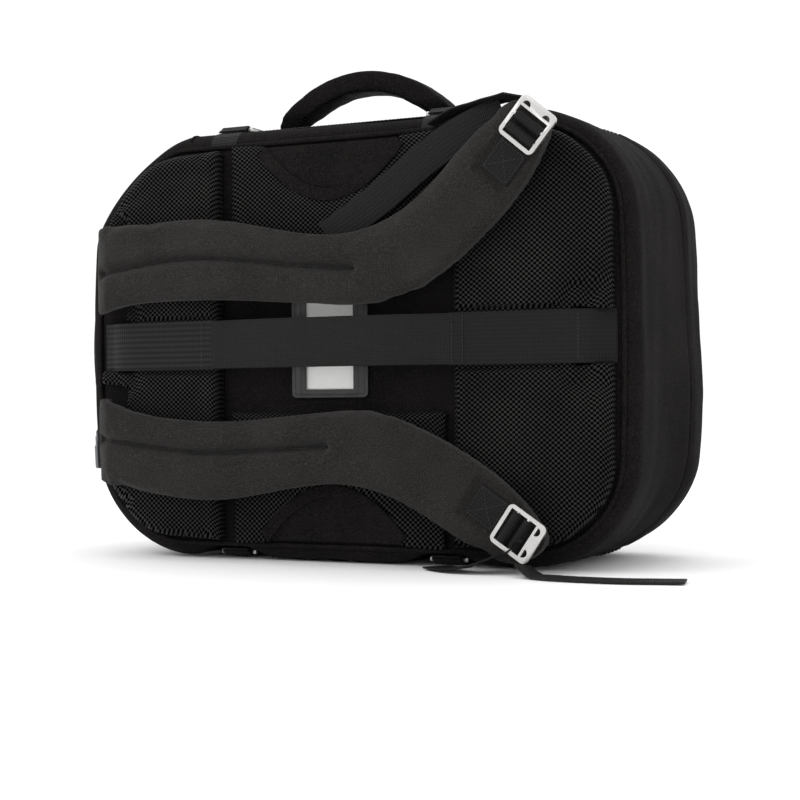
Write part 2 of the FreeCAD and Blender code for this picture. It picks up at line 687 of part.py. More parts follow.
# ---- lash straps --------------------------------------------------------------------------
def lash_set(x, below):
    """Webbing tab from the back seam, metal buckle and its webbing loop on a long side."""
    face = body_width
    lift = -lash_recess + clearance if below else clearance
    y_start, y_bar, y_end = y_back + back_rim + 1, y_back + lash_bar, y_back + lash_end
    half = webbing / 2
    inner = bar_radius + loop_clearance
    outer = inner + webbing_thickness
    z0 = face + lift
    bar_z = z0 + outer
    web = box(x - half, x + half, y_start, y_bar, z0, z0 + webbing_thickness)
    ring = Part.makeCylinder(outer, webbing, Vector(x - half, y_bar, bar_z), Vector(1, 0, 0))
    hole = Part.makeCylinder(inner, webbing + 2, Vector(x - half - 1, y_bar, bar_z),
                             Vector(1, 0, 0))
    web = web.fuse(ring).cut(hole).removeSplitter()
    far_bar = y_bar + lash_buckle_length - 2 * bar_radius
    loop = box(x - half, x + half, far_bar, y_end, z0, z0 + webbing_thickness)
    ring2 = Part.makeCylinder(outer, webbing, Vector(x - half, far_bar, bar_z), Vector(1, 0, 0))
    gate = box(x - half - 1, x + half + 1, far_bar - outer - 1, far_bar + outer + 1,
               bar_z - inner * 0.2, bar_z + outer + 1)
    hole2 = Part.makeCylinder(inner, webbing + 2, Vector(x - half - 1, far_bar, bar_z),
                              Vector(1, 0, 0))
    loop = loop.fuse(ring2).cut(hole2).cut(gate).removeSplitter()
    frame = box(x - buckle_width / 2, x + buckle_width / 2, y_bar - bar_radius,
                far_bar + bar_radius, bar_z - bar_radius * 0.8, bar_z + bar_radius * 0.8)
    uprights = [e for e in frame.Edges if abs(e.Vertexes[0].Z - e.Vertexes[-1].Z) > 1e-6]
    frame = frame.makeFillet(bar_radius * 0.8, uprights)
    frame = frame.cut(box(x - window / 2, x + window / 2, y_bar - bar_radius - 1,
                          far_bar + bar_radius + 1, bar_z - 5, bar_z + 5))
    for y in (y_bar, far_bar):
        frame = frame.fuse(Part.makeCylinder(
            bar_radius, buckle_width - bar_radius * 1.6,
            Vector(x - buckle_width / 2 + bar_radius * 0.8, y, bar_z), Vector(1, 0, 0)))
    return web, loop, frame.removeSplitter()


def lash_dent(x, depth, grow):
    """The resting side's dent round a lash strap, to a depth, as a block grown outwards."""
    half = buckle_width / 2 + lash_margin + grow
    return box(x - half, x + half, y_back + back_rim - 1 - min(grow, 1),
               y_back + lash_end + lash_margin + grow, 0, depth)


# ---- front cover --------------------------------------------------------------------------
def front_cover():
    outer = body_slab(0, cover_edge, y_front, y_front, front_rim)
    inner = body_slab(wall, cover_edge, y_front - panel_wall, y_front - panel_wall,
                      front_rim - wall)
    shell = outer.cut(inner)
    far = body_length
    cut_y = y_front - front_rim
    panel = shell.common(box(-far, far, cut_y, y_front + 1, -1, body_width + 1))
    ring = shell.common(box(-far, far, cover_edge, cut_y, -1, body_width + 1))
    middle = (top_split, bottom_split, cover_edge, cut_y)
    return {
        "cover_front_panel": panel,
        "cover_top_wall": ring.common(box(-far, top_split, cover_edge, cut_y, -1, body_width + 1)),
        "cover_bottom_wall": ring.common(
            box(bottom_split, far, cover_edge, cut_y, -1, body_width + 1)),
        "cover_carry_wall": ring.common(box(*middle, centre_z, body_width + 1)),
        "cover_rest_wall": ring.common(box(*middle, -1, centre_z)),
    }


def front_pocket():
    """Hollow patch pocket on the front panel, its zipper across the pack's top."""
    def block(inset, y0, y1):
        solid = box(pocket_shift - pocket_length / 2 + inset, pocket_shift + pocket_length / 2 - inset,
                    y0, y1, centre_z - pocket_height / 2 + inset,
                    centre_z + pocket_height / 2 - inset)
        return solid.makeFillet(pocket_corner - inset, edges_along_y(solid))
    outer = block(0, y_front, y_front + pocket_depth)
    outer = outer.makeFillet(pocket_depth * 0.7, edges_at(outer, "Y", y_front + pocket_depth))
    inner = block(pocket_wall + 3, y_front, y_front + pocket_depth - pocket_wall)
    edge = pocket_shift - pocket_length / 2
    half = pocket_height / 2 - pocket_corner
    mouth = box(edge - 1, edge + pocket_corner, y_front, y_front + pocket_mouth,
                centre_z - half, centre_z + half)
    return outer.cut(inner).cut(mouth)


def pocket_zip_x():
    return pocket_shift - pocket_length / 2 - zip_tape / 2 - 1


def pocket_zip():
    x = pocket_zip_x()
    half = pocket_height / 2 - pocket_corner
    return box(x - zip_tape / 2, x + zip_tape / 2, y_front, y_front + zip_proud,
               centre_z - half, centre_z + half)


def inner_pocket():
    """Mesh pocket inside the cover, sewn on three sides and open at the pack's top."""
    plate = body_slab(wall + 26, y_front - panel_wall - 9, y_front - panel_wall)
    hollow = body_slab(wall + 29, y_front - panel_wall - 7.5, y_front - panel_wall)
    plate = plate.cut(hollow)
    return plate.common(box(x_top + 90, body_length, y_back, y_front, 0, body_width))


# ---- assembly -----------------------------------------------------------------------------
def build():
    parts = rear_shell()
    parts["frame_sheet"] = frame_sheet()
    parts["laptop_divider"] = laptop_divider()
    parts["hinge_fabric"] = hinge_fabric()
    parts["main_zip_chain"] = zip_chain(y_zip - clearance / 2, zip_gap - clearance, main_zip_proud,
                                        wall / 2, bottom_split + 44, 0.0)
    laptop_chain = zip_chain(laptop_zip_y, zip_tape, zip_proud, 0.0, bottom_split, 60.0)
    parts.update(back_pads())
    parts.update(card_holder())
    parts.update(trolley_strap())

    sides = {
        "upper": (upper_far, upper_near, upper_tip, upper_buckle, buckle_angle),
        "lower": (lower_far, lower_near, lower_tip, lower_buckle, lower_angle),
    }
    for side, (far_side, near_side, tip, place, angle) in sides.items():
        upper = side == "upper"
        parts["shoulder_strap_" + side] = shoulder_strap(far_side, near_side, tip, upper)
        parts["strap_patch_" + side] = at_buckle(strap_patch(), place, angle, upper)
        parts["ladder_lock_" + side] = at_buckle(ladder_lock(), place, angle, upper)
        parts["web_wrap_" + side] = at_buckle(web_wrap(), place, angle, upper)
    parts["anchor_web_upper"] = anchor_web(anchor_upper, body_width + zip_proud + clearance)
    parts["anchor_web_lower"] = anchor_web(anchor_lower, 1.0)
    parts["tail_web_upper"] = tail_web_upper()
    parts["tail_web_lower"] = tail_web_lower()

    parts["carry_handle"] = on_carry_side(
        handle_arch(handle_span, handle_rise, handle_thickness, handle_width))
    parts["carry_handle_tabs"] = on_carry_side(handle_tabs(handle_span))
    parts["grab_handle"] = on_top_end(
        handle_arch(grab_span, grab_rise, grab_thickness, grab_width))
    parts["grab_handle_tabs"] = grab_tabs()

    webs, loops = [], []
    rest_side = parts["rest_side_panel"]
    for side, below in (("carry", False), ("rest", True)):
        for number, x in enumerate(lash_positions, 1):
            web, loop, frame = lash_set(x, below)
            if below:
                web, loop, frame = upright(web), upright(loop), upright(frame)
            webs.append(web)
            loops.append(loop)
            parts[f"lash_buckle_{side}_{number}"] = frame
    for x in lash_positions:
        lining = lash_dent(x, lash_recess + wall, wall)
        rest_side = rest_side.fuse(lining).cut(lash_dent(x, lash_recess, 0))
        parts["laptop_divider"] = parts["laptop_divider"].cut(lining)
    parts["rest_side_panel"] = rest_side.removeSplitter()
    parts["lash_webs"] = Part.makeCompound(webs)
    parts["carry_handle_tabs"] = parts["carry_handle_tabs"].cut(parts["lash_webs"])
    parts["lash_loops"] = Part.makeCompound(loops)
    for x in lash_positions:
        laptop_chain = laptop_chain.cut(box(x - zip_break, x + zip_break, y_back, 0, body_width - 1,
                                            body_width + 8))
    parts["laptop_zip_chain"] = laptop_chain

    for name, (origin, travel, out) in slider_places().items():
        parts[name + "_slider"], parts[name + "_pull"] = zipper(origin, travel, out)

    parts.update(front_cover())
    parts["front_pocket"] = front_pocket()
    parts["pocket_zip_chain"] = pocket_zip()
    parts["inner_mesh_pocket"] = inner_pocket()
    return parts


def main():
    os.makedirs("parts", exist_ok=True)
    parts = build()
    for name, shape in sorted(parts.items()):
        shape.exportStep(f"parts/{name}.step")
    print(len(parts), "nodes")


if __name__ == "__main__":
    main()
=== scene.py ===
"""Looks of a travel backpack that lies on its long side, built round its CAD frame."""

import json
import math

import bmesh
import bpy
import numpy as np
from mathutils import Matrix, Vector, noise

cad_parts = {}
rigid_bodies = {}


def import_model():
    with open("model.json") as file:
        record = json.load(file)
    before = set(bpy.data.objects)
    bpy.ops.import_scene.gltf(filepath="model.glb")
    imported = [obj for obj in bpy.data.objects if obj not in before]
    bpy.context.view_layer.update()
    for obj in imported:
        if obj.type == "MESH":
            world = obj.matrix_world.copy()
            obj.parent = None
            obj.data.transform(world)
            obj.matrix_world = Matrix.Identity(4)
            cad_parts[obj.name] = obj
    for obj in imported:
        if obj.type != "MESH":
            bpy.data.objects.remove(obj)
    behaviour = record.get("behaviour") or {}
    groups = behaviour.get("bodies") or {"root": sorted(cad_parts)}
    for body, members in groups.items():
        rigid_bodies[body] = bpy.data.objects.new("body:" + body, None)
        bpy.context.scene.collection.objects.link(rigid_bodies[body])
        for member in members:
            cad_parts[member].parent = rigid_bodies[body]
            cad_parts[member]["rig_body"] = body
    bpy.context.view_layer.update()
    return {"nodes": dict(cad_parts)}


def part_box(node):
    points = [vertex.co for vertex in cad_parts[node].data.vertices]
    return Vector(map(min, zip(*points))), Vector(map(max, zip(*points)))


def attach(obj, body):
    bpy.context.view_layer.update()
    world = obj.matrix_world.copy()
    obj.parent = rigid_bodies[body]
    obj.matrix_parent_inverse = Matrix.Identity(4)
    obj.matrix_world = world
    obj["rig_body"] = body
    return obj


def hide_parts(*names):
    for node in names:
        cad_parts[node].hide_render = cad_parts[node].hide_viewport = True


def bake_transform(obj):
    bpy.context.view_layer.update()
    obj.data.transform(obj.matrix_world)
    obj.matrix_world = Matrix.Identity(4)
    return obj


bl_info = {
    "name": "Travel backpack looks",
    "version": (1, 0, 0),
    "blender": (4, 5, 0),
    "location": "3D View > Sidebar > Travel pack",
    "description": "Builds the cloth, padding, webbing, zippers and hardware of a travel backpack",
    "category": "Object",
}

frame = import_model()
MM = 0.001
CAMERA_PLACE = (0.5748, -1.2256, 0.129)
CAMERA_TURN, CAMERA_ROLL = math.radians(25.0), math.radians(0.46)
SENSOR, LENS = 36.0, 72.0          # in mm
FLOOR_SIZE = 14.0                  # half its side, in metres
FLOOR_DROP = 0.0006                # keeps the pack's lowest cloth clear of it, in metres
SKY = 1.06                         # strength of the even light from all round
LAMPS = (                          # name, place, width in metres, watts
    ("key", (-1.2, -1.6, 1.9), 1.6, 16.0), ("fill", (1.9, -1.3, 1.2), 1.8, 2.5),
    ("top", (0.1, 0.5, 2.2), 1.8, 10.0), ("rim", (1.6, 1.4, 1.2), 1.2, 4.0))
LIT_POINT = Vector((0, 0, 0.17))   # where the lamps are aimed
DOWN_FACE = Vector((0, -1, 0))     # the side against the wearer's back
INTO_PACK = Vector((0, 1, 0))      # from the wearer's back to the cover
UP = Vector((0, 0, 1))
LENGTHWAYS = Vector((1, 0, 0))     # from the pack's top end to its bottom end
END_TILT = {"upper": 50.0, "lower": -34.0}    # direction of each shoulder strap's end
BAR_SPACING = 9.8                  # between a ladder lock's two bars, in mm
BAR_TO_MIDDLE = 8.4                # from its fixed bar to the middle of its box
WRAP_RADIUS = 2.9                  # of webbing that goes round a buckle's bar
WALL_SLACK = 2.4                   # how far the rear shell's loose cloth stands off
RESTING_Z = 20.0                   # below this height the cloth is pressed to the floor


def box_mm(node):
    low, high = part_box(node)
    return low / MM, high / MM


SIDE_LOW, SIDE_HIGH = box_mm("carry_side_panel")
CENTRE_Z = (SIDE_HIGH.z + box_mm("rest_side_panel")[0].z) / 2


# ---- settings ---------------------------------------------------------------------------
def length(name, default_mm, about):
    return bpy.props.FloatProperty(name=name, description=about, default=default_mm * MM,
                                   unit="LENGTH", subtype="DISTANCE", precision=4)


def colour(name, default, about):
    return bpy.props.StringProperty(name=name, description=about, default=default)


class PackSizes(bpy.types.PropertyGroup):
    """Sizes of the pack's outline and of its sewn parts."""

    body_length: length("Length", 468.0, "Seam to seam along the pack")
    body_width: length("Width", 350.0, "From the resting side to the carry side")
    top_corner: length("Top corner", 86.0, "Outline radius at the pack's top")
    bottom_corner: length("Bottom corner", 82.0, "Outline radius at the pack's bottom")
    top_bulge: length("Top bulge", 12.0, "How far the top end bows out")
    bottom_bulge: length("Bottom bulge", 8.0, "How far the bottom end bows out")
    bottom_sag: length("Bottom sag", 11.0, "How far its loose cloth stands out at the zipper")
    corner_slack: length("Corner slack", 15.0, "How far the upper corner is drawn in")
    back_rim: length("Back rim", 12.0, "Rounding between back panel and sides")
    front_rim: length("Front rim", 30.0, "Rounding between front panel and sides")
    seam_inset: length("Seam inset", 14.0, "Back panel seam, in from the sides")
    wall: length("Wall", 5.0, "Fabric, foam and lining of a side")
    webbing: length("Webbing", 25.0, "Width of the adjusting webbing")
    web_thickness: length("Webbing thickness", 1.4, "One layer of webbing")
    trolley_width: length("Trolley strap", 40.0, "Width of the strap over the channel")
    stitch_pitch: length("Stitch pitch", 3.4, "From one stitch to the next")
    coil_pitch: length("Coil pitch", 1.7, "From one zipper tooth to the next")


class PackPadding(bpy.types.PropertyGroup):
    """How the padded pieces are blown up."""

    voxel: length("Voxel", 4.6, "Size of the remeshed faces before the padding swells")
    pressure: bpy.props.FloatProperty(name="Pressure", description="Air in a padded piece",
                                      default=4.0, min=0.0)
    cap: length("Cap", 6.0, "The most that a point may move")
    frames: bpy.props.IntProperty(name="Frames", description="Steps of the simulation",
                                  default=18, min=2)


class PackColours(bpy.types.PropertyGroup):
    """Colours as sRGB hex values."""

    cloth: colour("Pack cloth", "0a0909", "Near-black warm polyester")
    cloth_fleck: colour("Cloth fleck", "272423", "Lighter yarns in the pack cloth")
    strap: colour("Strap cloth", "1a1918", "Brushed cloth of the straps")
    strap_fleck: colour("Strap fleck", "3b3837", "Lighter fibres on the straps")
    mesh: colour("Spacer mesh", "252423", "Knitted mesh over the foam")
    # Near black: the foam's own dark colour with painted shade in the holes' recess.
    mesh_hole_foam_and_shade: colour("Mesh hole", "020202", "Foam seen through the mesh")
    web: colour("Webbing", "0f0f0f", "Woven webbing")
    # Painted highlight: the colour that the webbing's ribs are given where they stand highest.
    web_rib_highlight: colour("Webbing rib", "1e1c1b", "Light on the webbing's ribs")
    lining: colour("Lining", "3a3b3e", "Thin cloth inside the pack")
    metal: colour("Buckle", "c9c8c6", "Satin cast metal")
    slider: colour("Slider", "55565a", "Dark plated slider")
    rubber: colour("Rubber", "6f7174", "Grey moulded zipper pull")
    vinyl: colour("Vinyl", "141414", "Frame of the card window")
    card: colour("Card", "fbfbf8", "Blank card")
    floor: colour("Floor", "ffffff", "Studio floor")


def size(name):
    """A size of the pack in millimetres."""
    return getattr(bpy.context.scene.pack_sizes, name) / MM


# ---- materials --------------------------------------------------------------------------
def linear(code):
    """sRGB hex to linear RGBA."""
    parts = [int(code[i:i + 2], 16) / 255 for i in (0, 2, 4)]
    return [p / 12.92 if p <= 0.04045 else ((p + 0.055) / 1.055) ** 2.4 for p in parts] + [1.0]


def tint(name):
    return linear(getattr(bpy.context.scene.pack_colours, name))


def add(tree, kind, inputs=None, **settings):
    """Adds a node with its settings and its values or links."""
    node = tree.nodes.new(kind)
    for key, value in settings.items():
        setattr(node, key, value)
    for key, value in (inputs or {}).items():
        if isinstance(value, bpy.types.NodeSocket):
            tree.links.new(value, node.inputs[key])
        else:
            node.inputs[key].default_value = value
    return node.outputs[0]


def start(name, settings):
    """A new material, its tree and its shader, with constant settings on the shader's sockets."""
    material = bpy.data.materials.new(name)
    material.use_nodes = True
    shader = material.node_tree.nodes["Principled BSDF"]
    for key, value in settings.items():
        shader.inputs[key].default_value = value
    return material, material.node_tree, shader


def connect(tree, shader, base, bump_height, strength, distance_mm, rough=None):
    """Colour, bump and roughness to the shader."""
    tree.links.new(base, shader.inputs["Base Color"])
    bump = add(tree, "ShaderNodeBump", {"Height": bump_height, "Strength": strength,
                                        "Distance": distance_mm * MM})
    tree.links.new(bump, shader.inputs["Normal"])
    if rough is not None:
        tree.links.new(rough, shader.inputs["Roughness"])


def place_in(tree, own_uv=False, turn=(0, 0, 0)):
    """Where the pattern is read: the row frame, or the piece's own strip coordinates."""
    source = add(tree, "ShaderNodeTexCoord").node
    point = source.outputs["UV" if own_uv else "Object"]
    return add(tree, "ShaderNodeMapping", {"Vector": point, "Rotation": turn})


def parted(tree, point):
    """The three coordinates of a point."""
    return add(tree, "ShaderNodeSeparateXYZ", {0: point}).node.outputs


def wave(tree, run, pitch_mm):
    """Sine of a run, one full wave to a pitch."""
    return maths(tree, "SINE", maths(tree, "MULTIPLY", run, 2 * math.pi / (pitch_mm * MM)))


def waves(tree, point, *pitches_mm):
    """The wave along each coordinate that has a pitch."""
    return [wave(tree, run, pitch) for run, pitch in zip(parted(tree, point), pitches_mm)]


def maths(tree, operation, a, b=0.0):
    return add(tree, "ShaderNodeMath", {0: a, 1: b}, operation=operation)


def speckle(tree, point, grain_mm, detail=3.0, stretch=(1, 1, 1)):
    """Noise whose grain has a real size."""
    spread = add(tree, "ShaderNodeMapping", {"Vector": point, "Scale": stretch})
    return add(tree, "ShaderNodeTexNoise", {"Vector": spread, "Scale": 1 / (grain_mm * MM),
                                            "Detail": detail, "Roughness": 0.62})


def mixed(tree, share, low, high):
    """Colour between two colours."""
    first = add(tree, "ShaderNodeMix", {"Factor": share, 6: low, 7: high}, data_type="RGBA")
    return first.node.outputs[2]


def ramp(tree, value, low, high, to_low=0.0, to_high=1.0):
    return add(tree, "ShaderNodeMapRange", {
        "Value": value, "From Min": low, "From Max": high, "To Min": to_low, "To Max": to_high})


def woven_cloth(name, base, fleck, thread_mm, bump_mm, sheen, fleck_share):
    """Woven polyester: a dull matt face, a fine grid of yarns and paler flecks in it."""
    material, tree, shader = start(name, {
        "Roughness": 0.9, "Specular IOR Level": 0.07, "Sheen Weight": sheen,
        "Sheen Roughness": 0.5, "IOR": 1.5})
    point = place_in(tree)
    x, y, z = waves(tree, point, thread_mm, thread_mm, thread_mm)
    grid = maths(tree, "ADD", maths(tree, "MULTIPLY", x, y), maths(tree, "MULTIPLY", y, z))
    grid = maths(tree, "ADD", grid, maths(tree, "MULTIPLY", z, x))
    yarn = speckle(tree, point, 2.2, 4.0)
    broad = speckle(tree, point, 46.0, 2.0)
    flecks = ramp(tree, speckle(tree, point, 1.1, 5.0), 0.46, 0.66, 0.0, fleck_share)
    shade = maths(tree, "ADD", flecks, ramp(tree, broad, 0.35, 0.7, 0.0, 0.18))
    height = maths(tree, "ADD", maths(tree, "MULTIPLY", grid, 0.3), yarn)
    rough = ramp(tree, yarn, 0.3, 0.75, 0.78, 0.95)
    connect(tree, shader, mixed(tree, shade, tint(base), tint(fleck)), height, 0.75, bump_mm,
            rough)
    return material


def spacer_mesh(name, across, along, turn=(0, 0, 0)):
    """Knitted spacer mesh: shiny yarn walls round offset oval holes; in the holes the foam is
    drawn near black, its own dark colour with painted shade in the recess, and without reflection.
    """
    material, tree, shader = start(name, {
        "Sheen Weight": 0.01, "Sheen Roughness": 0.4, "IOR": 1.5})
    point = place_in(tree, turn=turn)
    x, y, z = parted(tree, point)
    rows = [wave(tree, maths(tree, "ADD", run, y), pitch)
            for run, pitch in ((x, across), (z, along))]
    hole = ramp(tree, maths(tree, "MULTIPLY", rows[0], rows[1]), -0.16, 0.16)
    yarn = speckle(tree, point, 0.9, 3.0)
    broad = speckle(tree, point, 40.0, 2.0)
    yarn_tint = mixed(tree, ramp(tree, broad, 0.3, 0.7, 0.2, 0.9), tint("cloth"), tint("mesh"))
    # Painted shade: the holes take the near-black colour, the foam's own dark colour deepened as
    # shade in the recess.
    base = mixed(tree, hole, yarn_tint, tint("mesh_hole_foam_and_shade"))
    height = maths(tree, "ADD", maths(tree, "MULTIPLY", hole, -1.0),
                   maths(tree, "MULTIPLY", yarn, 0.25))
    connect(tree, shader, base, height, 0.9, 1.0, ramp(tree, hole, 0.0, 1.0, 0.55, 0.95))
    tree.links.new(ramp(tree, hole, 0.0, 1.0, 0.2, 0.0), shader.inputs["Specular IOR Level"])
    return material


def web_cloth(name, along_mm, across_mm, weight, own_uv=True, turn=(0, 0, 0), pale=0.85):
    """Woven webbing: ribbed in the bump, with a painted highlight where the ribs stand highest;
    pale is how much of the highlight colour they reach.
    """
    material, tree, shader = start(name, {
        "Specular IOR Level": 0.2, "Sheen Weight": 0.015, "Sheen Roughness": 0.4, "IOR": 1.5})
    point = place_in(tree, own_uv, turn)
    along, across = waves(tree, point, along_mm, across_mm)
    ribs = maths(tree, "ADD", maths(tree, "MULTIPLY", along, weight),
                 maths(tree, "MULTIPLY", across, 1 - weight))
    weave = maths(tree, "ADD", ribs, maths(tree, "MULTIPLY", speckle(tree, point, 0.8, 3.0), 0.5))
    # Painted highlight: the higher the weave stands, the more of the rib colour it is given.
    shade = ramp(tree, weave, -0.5, 1.2, 0.0, pale)
    connect(tree, shader, mixed(tree, shade, tint("web"), tint("web_rib_highlight")), weave, 0.8, 0.45,
            ramp(tree, weave, -0.8, 1.2, 0.82, 0.52))
    return material


def lining_cloth(name, grid_mm, mesh_like):
    """Thin plain-weave lining with a square grid of thicker yarns, or an open mesh."""
    material, tree, shader = start(name, {
        "Roughness": 0.6, "Specular IOR Level": 0.4, "Sheen Weight": 0.1, "IOR": 1.5})
    point = place_in(tree)
    x, y, z = waves(tree, point, grid_mm, grid_mm, grid_mm)
    lines = maths(tree, "MAXIMUM", maths(tree, "MAXIMUM", x, y), z)
    share = ramp(tree, lines, 0.2 if mesh_like else 0.93, 0.75 if mesh_like else 1.0)
    crease = speckle(tree, point, 30.0, 4.0)
    height = maths(tree, "ADD", maths(tree, "MULTIPLY", share, 0.4), crease)
    dark = linear("1b1c1e") if mesh_like else tint("lining")
    pale = tint("lining") if mesh_like else linear("4b4c50")
    connect(tree, shader, mixed(tree, share, dark, pale), height, 0.5, 1.2)
    return material


def plain(name, base, rough, grain_mm, bump_mm, extra=None, variation=0.12, second=None):
    """A moulded, cast or coated finish: one colour with slight blotches and a fine grain."""
    settings = {"IOR": 1.5}
    settings.update(extra or {})
    if settings.get("Metallic"):
        settings.pop("IOR")
    material, tree, shader = start(name, settings)
    point = place_in(tree)
    grain = speckle(tree, point, grain_mm, 3.0)
    blotch = speckle(tree, point, grain_mm * 14, 2.0)
    other = second or [c * (1 - 2 * variation) for c in base[:3]] + [1.0]
    shade = ramp(tree, maths(tree, "ADD", grain, blotch), 0.75, 1.25)
    rough_map = ramp(tree, blotch, 0.3, 0.7, rough * 0.85, min(1.0, rough * 1.2))
    connect(tree, shader, mixed(tree, shade, base, other), grain, 0.4, bump_mm, rough_map)
    return material


MATERIALS = {}


def make_materials():
    made = MATERIALS
    # 600-denier polyester canvas: matt, nearly black, warm, with paler slubs. The yarns are
    # 0.5 mm apart on the real cloth and are drawn at 1.5 mm so that they show.
    made["cloth"] = woven_cloth("polyester canvas, woven", "cloth", "cloth_fleck", 1.5, 0.4,
                                0.003, 0.75)
    # Brushed polyester over foam: a short soft nap that greys where light grazes it.
    made["strap"] = woven_cloth("polyester strap cloth, brushed", "strap", "strap_fleck", 1.3,
                                0.35, 0.08, 0.65)
    # Spacer mesh: offset rows of oval holes, 4.4 mm apart in a row and the rows 1.9 mm
    # apart; it glistens a little on the yarns.
    made["mesh"] = spacer_mesh("polyester spacer mesh, knitted", 4.4, 3.8)
    made["mesh_low"] = spacer_mesh("polyester spacer mesh, knitted, on the handle", 4.4, 3.8,
                                   (math.radians(90), 0, 0))
    # Webbing: flat woven polyamide whose ribs run along, across, or both ways.
    made["web_long"] = web_cloth("polyamide webbing, ribbed along", 2.2, 4.4, 0.3)
    # This webbing gets less of the painted rib highlight (pale=0.4), so it reads darker: painted
    # shade, matched to the trolley strap's end away from the key lamp.
    made["web_cross"] = web_cloth("polyamide webbing, ribbed across", 1.6, 3.2, 0.7,
                                  pale=0.4)
    made["web_object"] = web_cloth("polyamide webbing, ribbed across, on tabs", 2.2, 2.2, 0.5,
                                   own_uv=False)
    # Woven elastic: fine even grid of covered rubber threads.
    made["elastic"] = web_cloth("elastic webbing, woven", 1.7, 1.7, 0.5)
    # Lining: thin woven polyester with a reinforcing grid every 5 mm; dull shine.
    made["lining"] = lining_cloth("polyester lining, ripstop weave", 5.0, False)
    made["lining_mesh"] = lining_cloth("polyester net, warp-knitted", 2.4, True)
    # Nylon coil: hard, slightly glossy spirals.
    made["coil"] = plain("nylon zipper coil, moulded", linear("191919"), 0.38, 0.6, 0.02)
    # Zinc alloy, cast and satin plated: soft broad reflections and a very fine grain.
    made["metal"] = plain("zinc alloy, satin plated", tint("metal"), 0.34, 0.5, 0.02,
                          {"Metallic": 1.0}, 0.04)
    made["slider"] = plain("zinc alloy, dark plated", tint("slider"), 0.3, 0.4, 0.02,
                           {"Metallic": 1.0}, 0.08)
    # Moulded rubber: mid grey, soft matt gloss.
    made["rubber"] = plain("rubber, moulded", tint("rubber"), 0.55, 0.7, 0.05)
    # Vinyl sheet with an embossed grain of about 0.9 mm.
    made["vinyl"] = plain("vinyl sheet, embossed", tint("vinyl"), 0.42, 0.9, 0.18,
                          {"Coat Weight": 0.12, "Coat Roughness": 0.3})
    made["card"] = plain("paper card, uncoated", tint("card"), 0.7, 0.8, 0.02, None, 0.02)
    made["plastic"] = plain("polyethylene sheet, extruded", linear("1c1d1f"), 0.4, 1.2, 0.05)
    # Polyester thread: a little paler and glossier than the cloth it lies in.
    made["thread"] = plain("polyester thread, twisted", linear("201f1e"), 0.6, 0.4, 0.03)
    # The same thread pulled deep into a channel, where hardly any light reaches it.
    made["seam"] = plain("polyester thread, in a channel", linear("060606"), 0.8, 0.4, 0.03)
    made["clear"] = clear_sheet()
    made["floor"] = plain("studio floor, matt paint", tint("floor"), 0.9, 4.0, 0.0, None, 0.01)


def clear_sheet():
    """Clear soft vinyl: see-through, with a wet gloss."""
    material, tree, shader = start("vinyl sheet, clear", {
        "Base Color": linear("f2f4f5"), "Roughness": 0.12, "IOR": 1.5, "Alpha": 0.09,
        "Coat Weight": 0.3, "Coat Roughness": 0.08})
    ripple = speckle(tree, place_in(tree), 22.0, 2.0)
    tree.links.new(add(tree, "ShaderNodeBump", {"Height": ripple, "Strength": 0.35,
                                                "Distance": 1.5 * MM}), shader.inputs["Normal"])
    return material


# ---- mesh helpers -----------------------------------------------------------------------
def make_object(name, bm, materials, body=None, sharp=None):
    """A finished mesh as an object that rides on a body."""
    mesh = bpy.data.meshes.new(name)
    bm.to_mesh(mesh)
    bm.free()
    obj = bpy.data.objects.new(name, mesh)
    bpy.context.scene.collection.objects.link(obj)
    for key in materials:
        mesh.materials.append(MATERIALS[key])
    mesh.polygons.foreach_set("use_smooth", [True] * len(mesh.polygons))
    if sharp:
        mesh.set_sharp_from_angle(angle=math.radians(sharp))
    if body:
        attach(obj, body)
    return obj


def subdivide(obj):
    modifier = obj.modifiers.new("Subdivision", "SUBSURF")
    modifier.levels = modifier.render_levels = 1


def thicken(obj, thickness_mm, inner=0):
    """Gives a sheet its thickness, inwards; inner counts material slots on from the outer."""
    modifier = obj.modifiers.new("Thickness", "SOLIDIFY")
    modifier.thickness = thickness_mm * MM
    modifier.offset = -1.0
    modifier.material_offset = inner
    modifier.material_offset_rim = 0


def turn_faces(bm, direction=None, depth_mm=-40.0):
    """Makes a sheet's faces look along direction, or else away from the pack's middle."""
    bmesh.ops.recalc_face_normals(bm, faces=bm.faces)
    middle = Vector((0, depth_mm, CENTRE_Z)) * MM
    total = 0.0
    for face in bm.faces:
        way = face.calc_center_median() - middle if direction is None else direction
        total += way.dot(face.normal) * face.calc_area()
    if total < 0:
        bmesh.ops.reverse_faces(bm, faces=bm.faces)


def lined_sheet(name, rings, thickness_mm, body, nodes, close=True, **facing):
    """Cloth with a lining behind it, lofted through rings; the last ring may be filled."""
    bm = bmesh.new()
    rows = loft(bm, rings, cap=False)
    if close:
        bm.faces.new(rows[-1])
    turn_faces(bm, **facing)
    obj = make_object(name, bm, ["cloth", "lining"], body)
    thicken(obj, thickness_mm, 1)
    subdivide(obj)
    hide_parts(*nodes)


def cut_off(bm, x_mm):
    """Removes what lies on the low side of an X."""
    bmesh.ops.bisect_plane(bm, geom=bm.verts[:] + bm.edges[:] + bm.faces[:], dist=1e-6,
                           plane_co=Vector((x_mm * MM, 0, 0)),
                           plane_no=Vector((-1, 0, 0)), clear_outer=True)


def dress(node, key):
    """Gives a CAD node's own mesh a material."""
    materials = frame["nodes"][node].data.materials
    materials.clear()
    materials.append(MATERIALS[key])


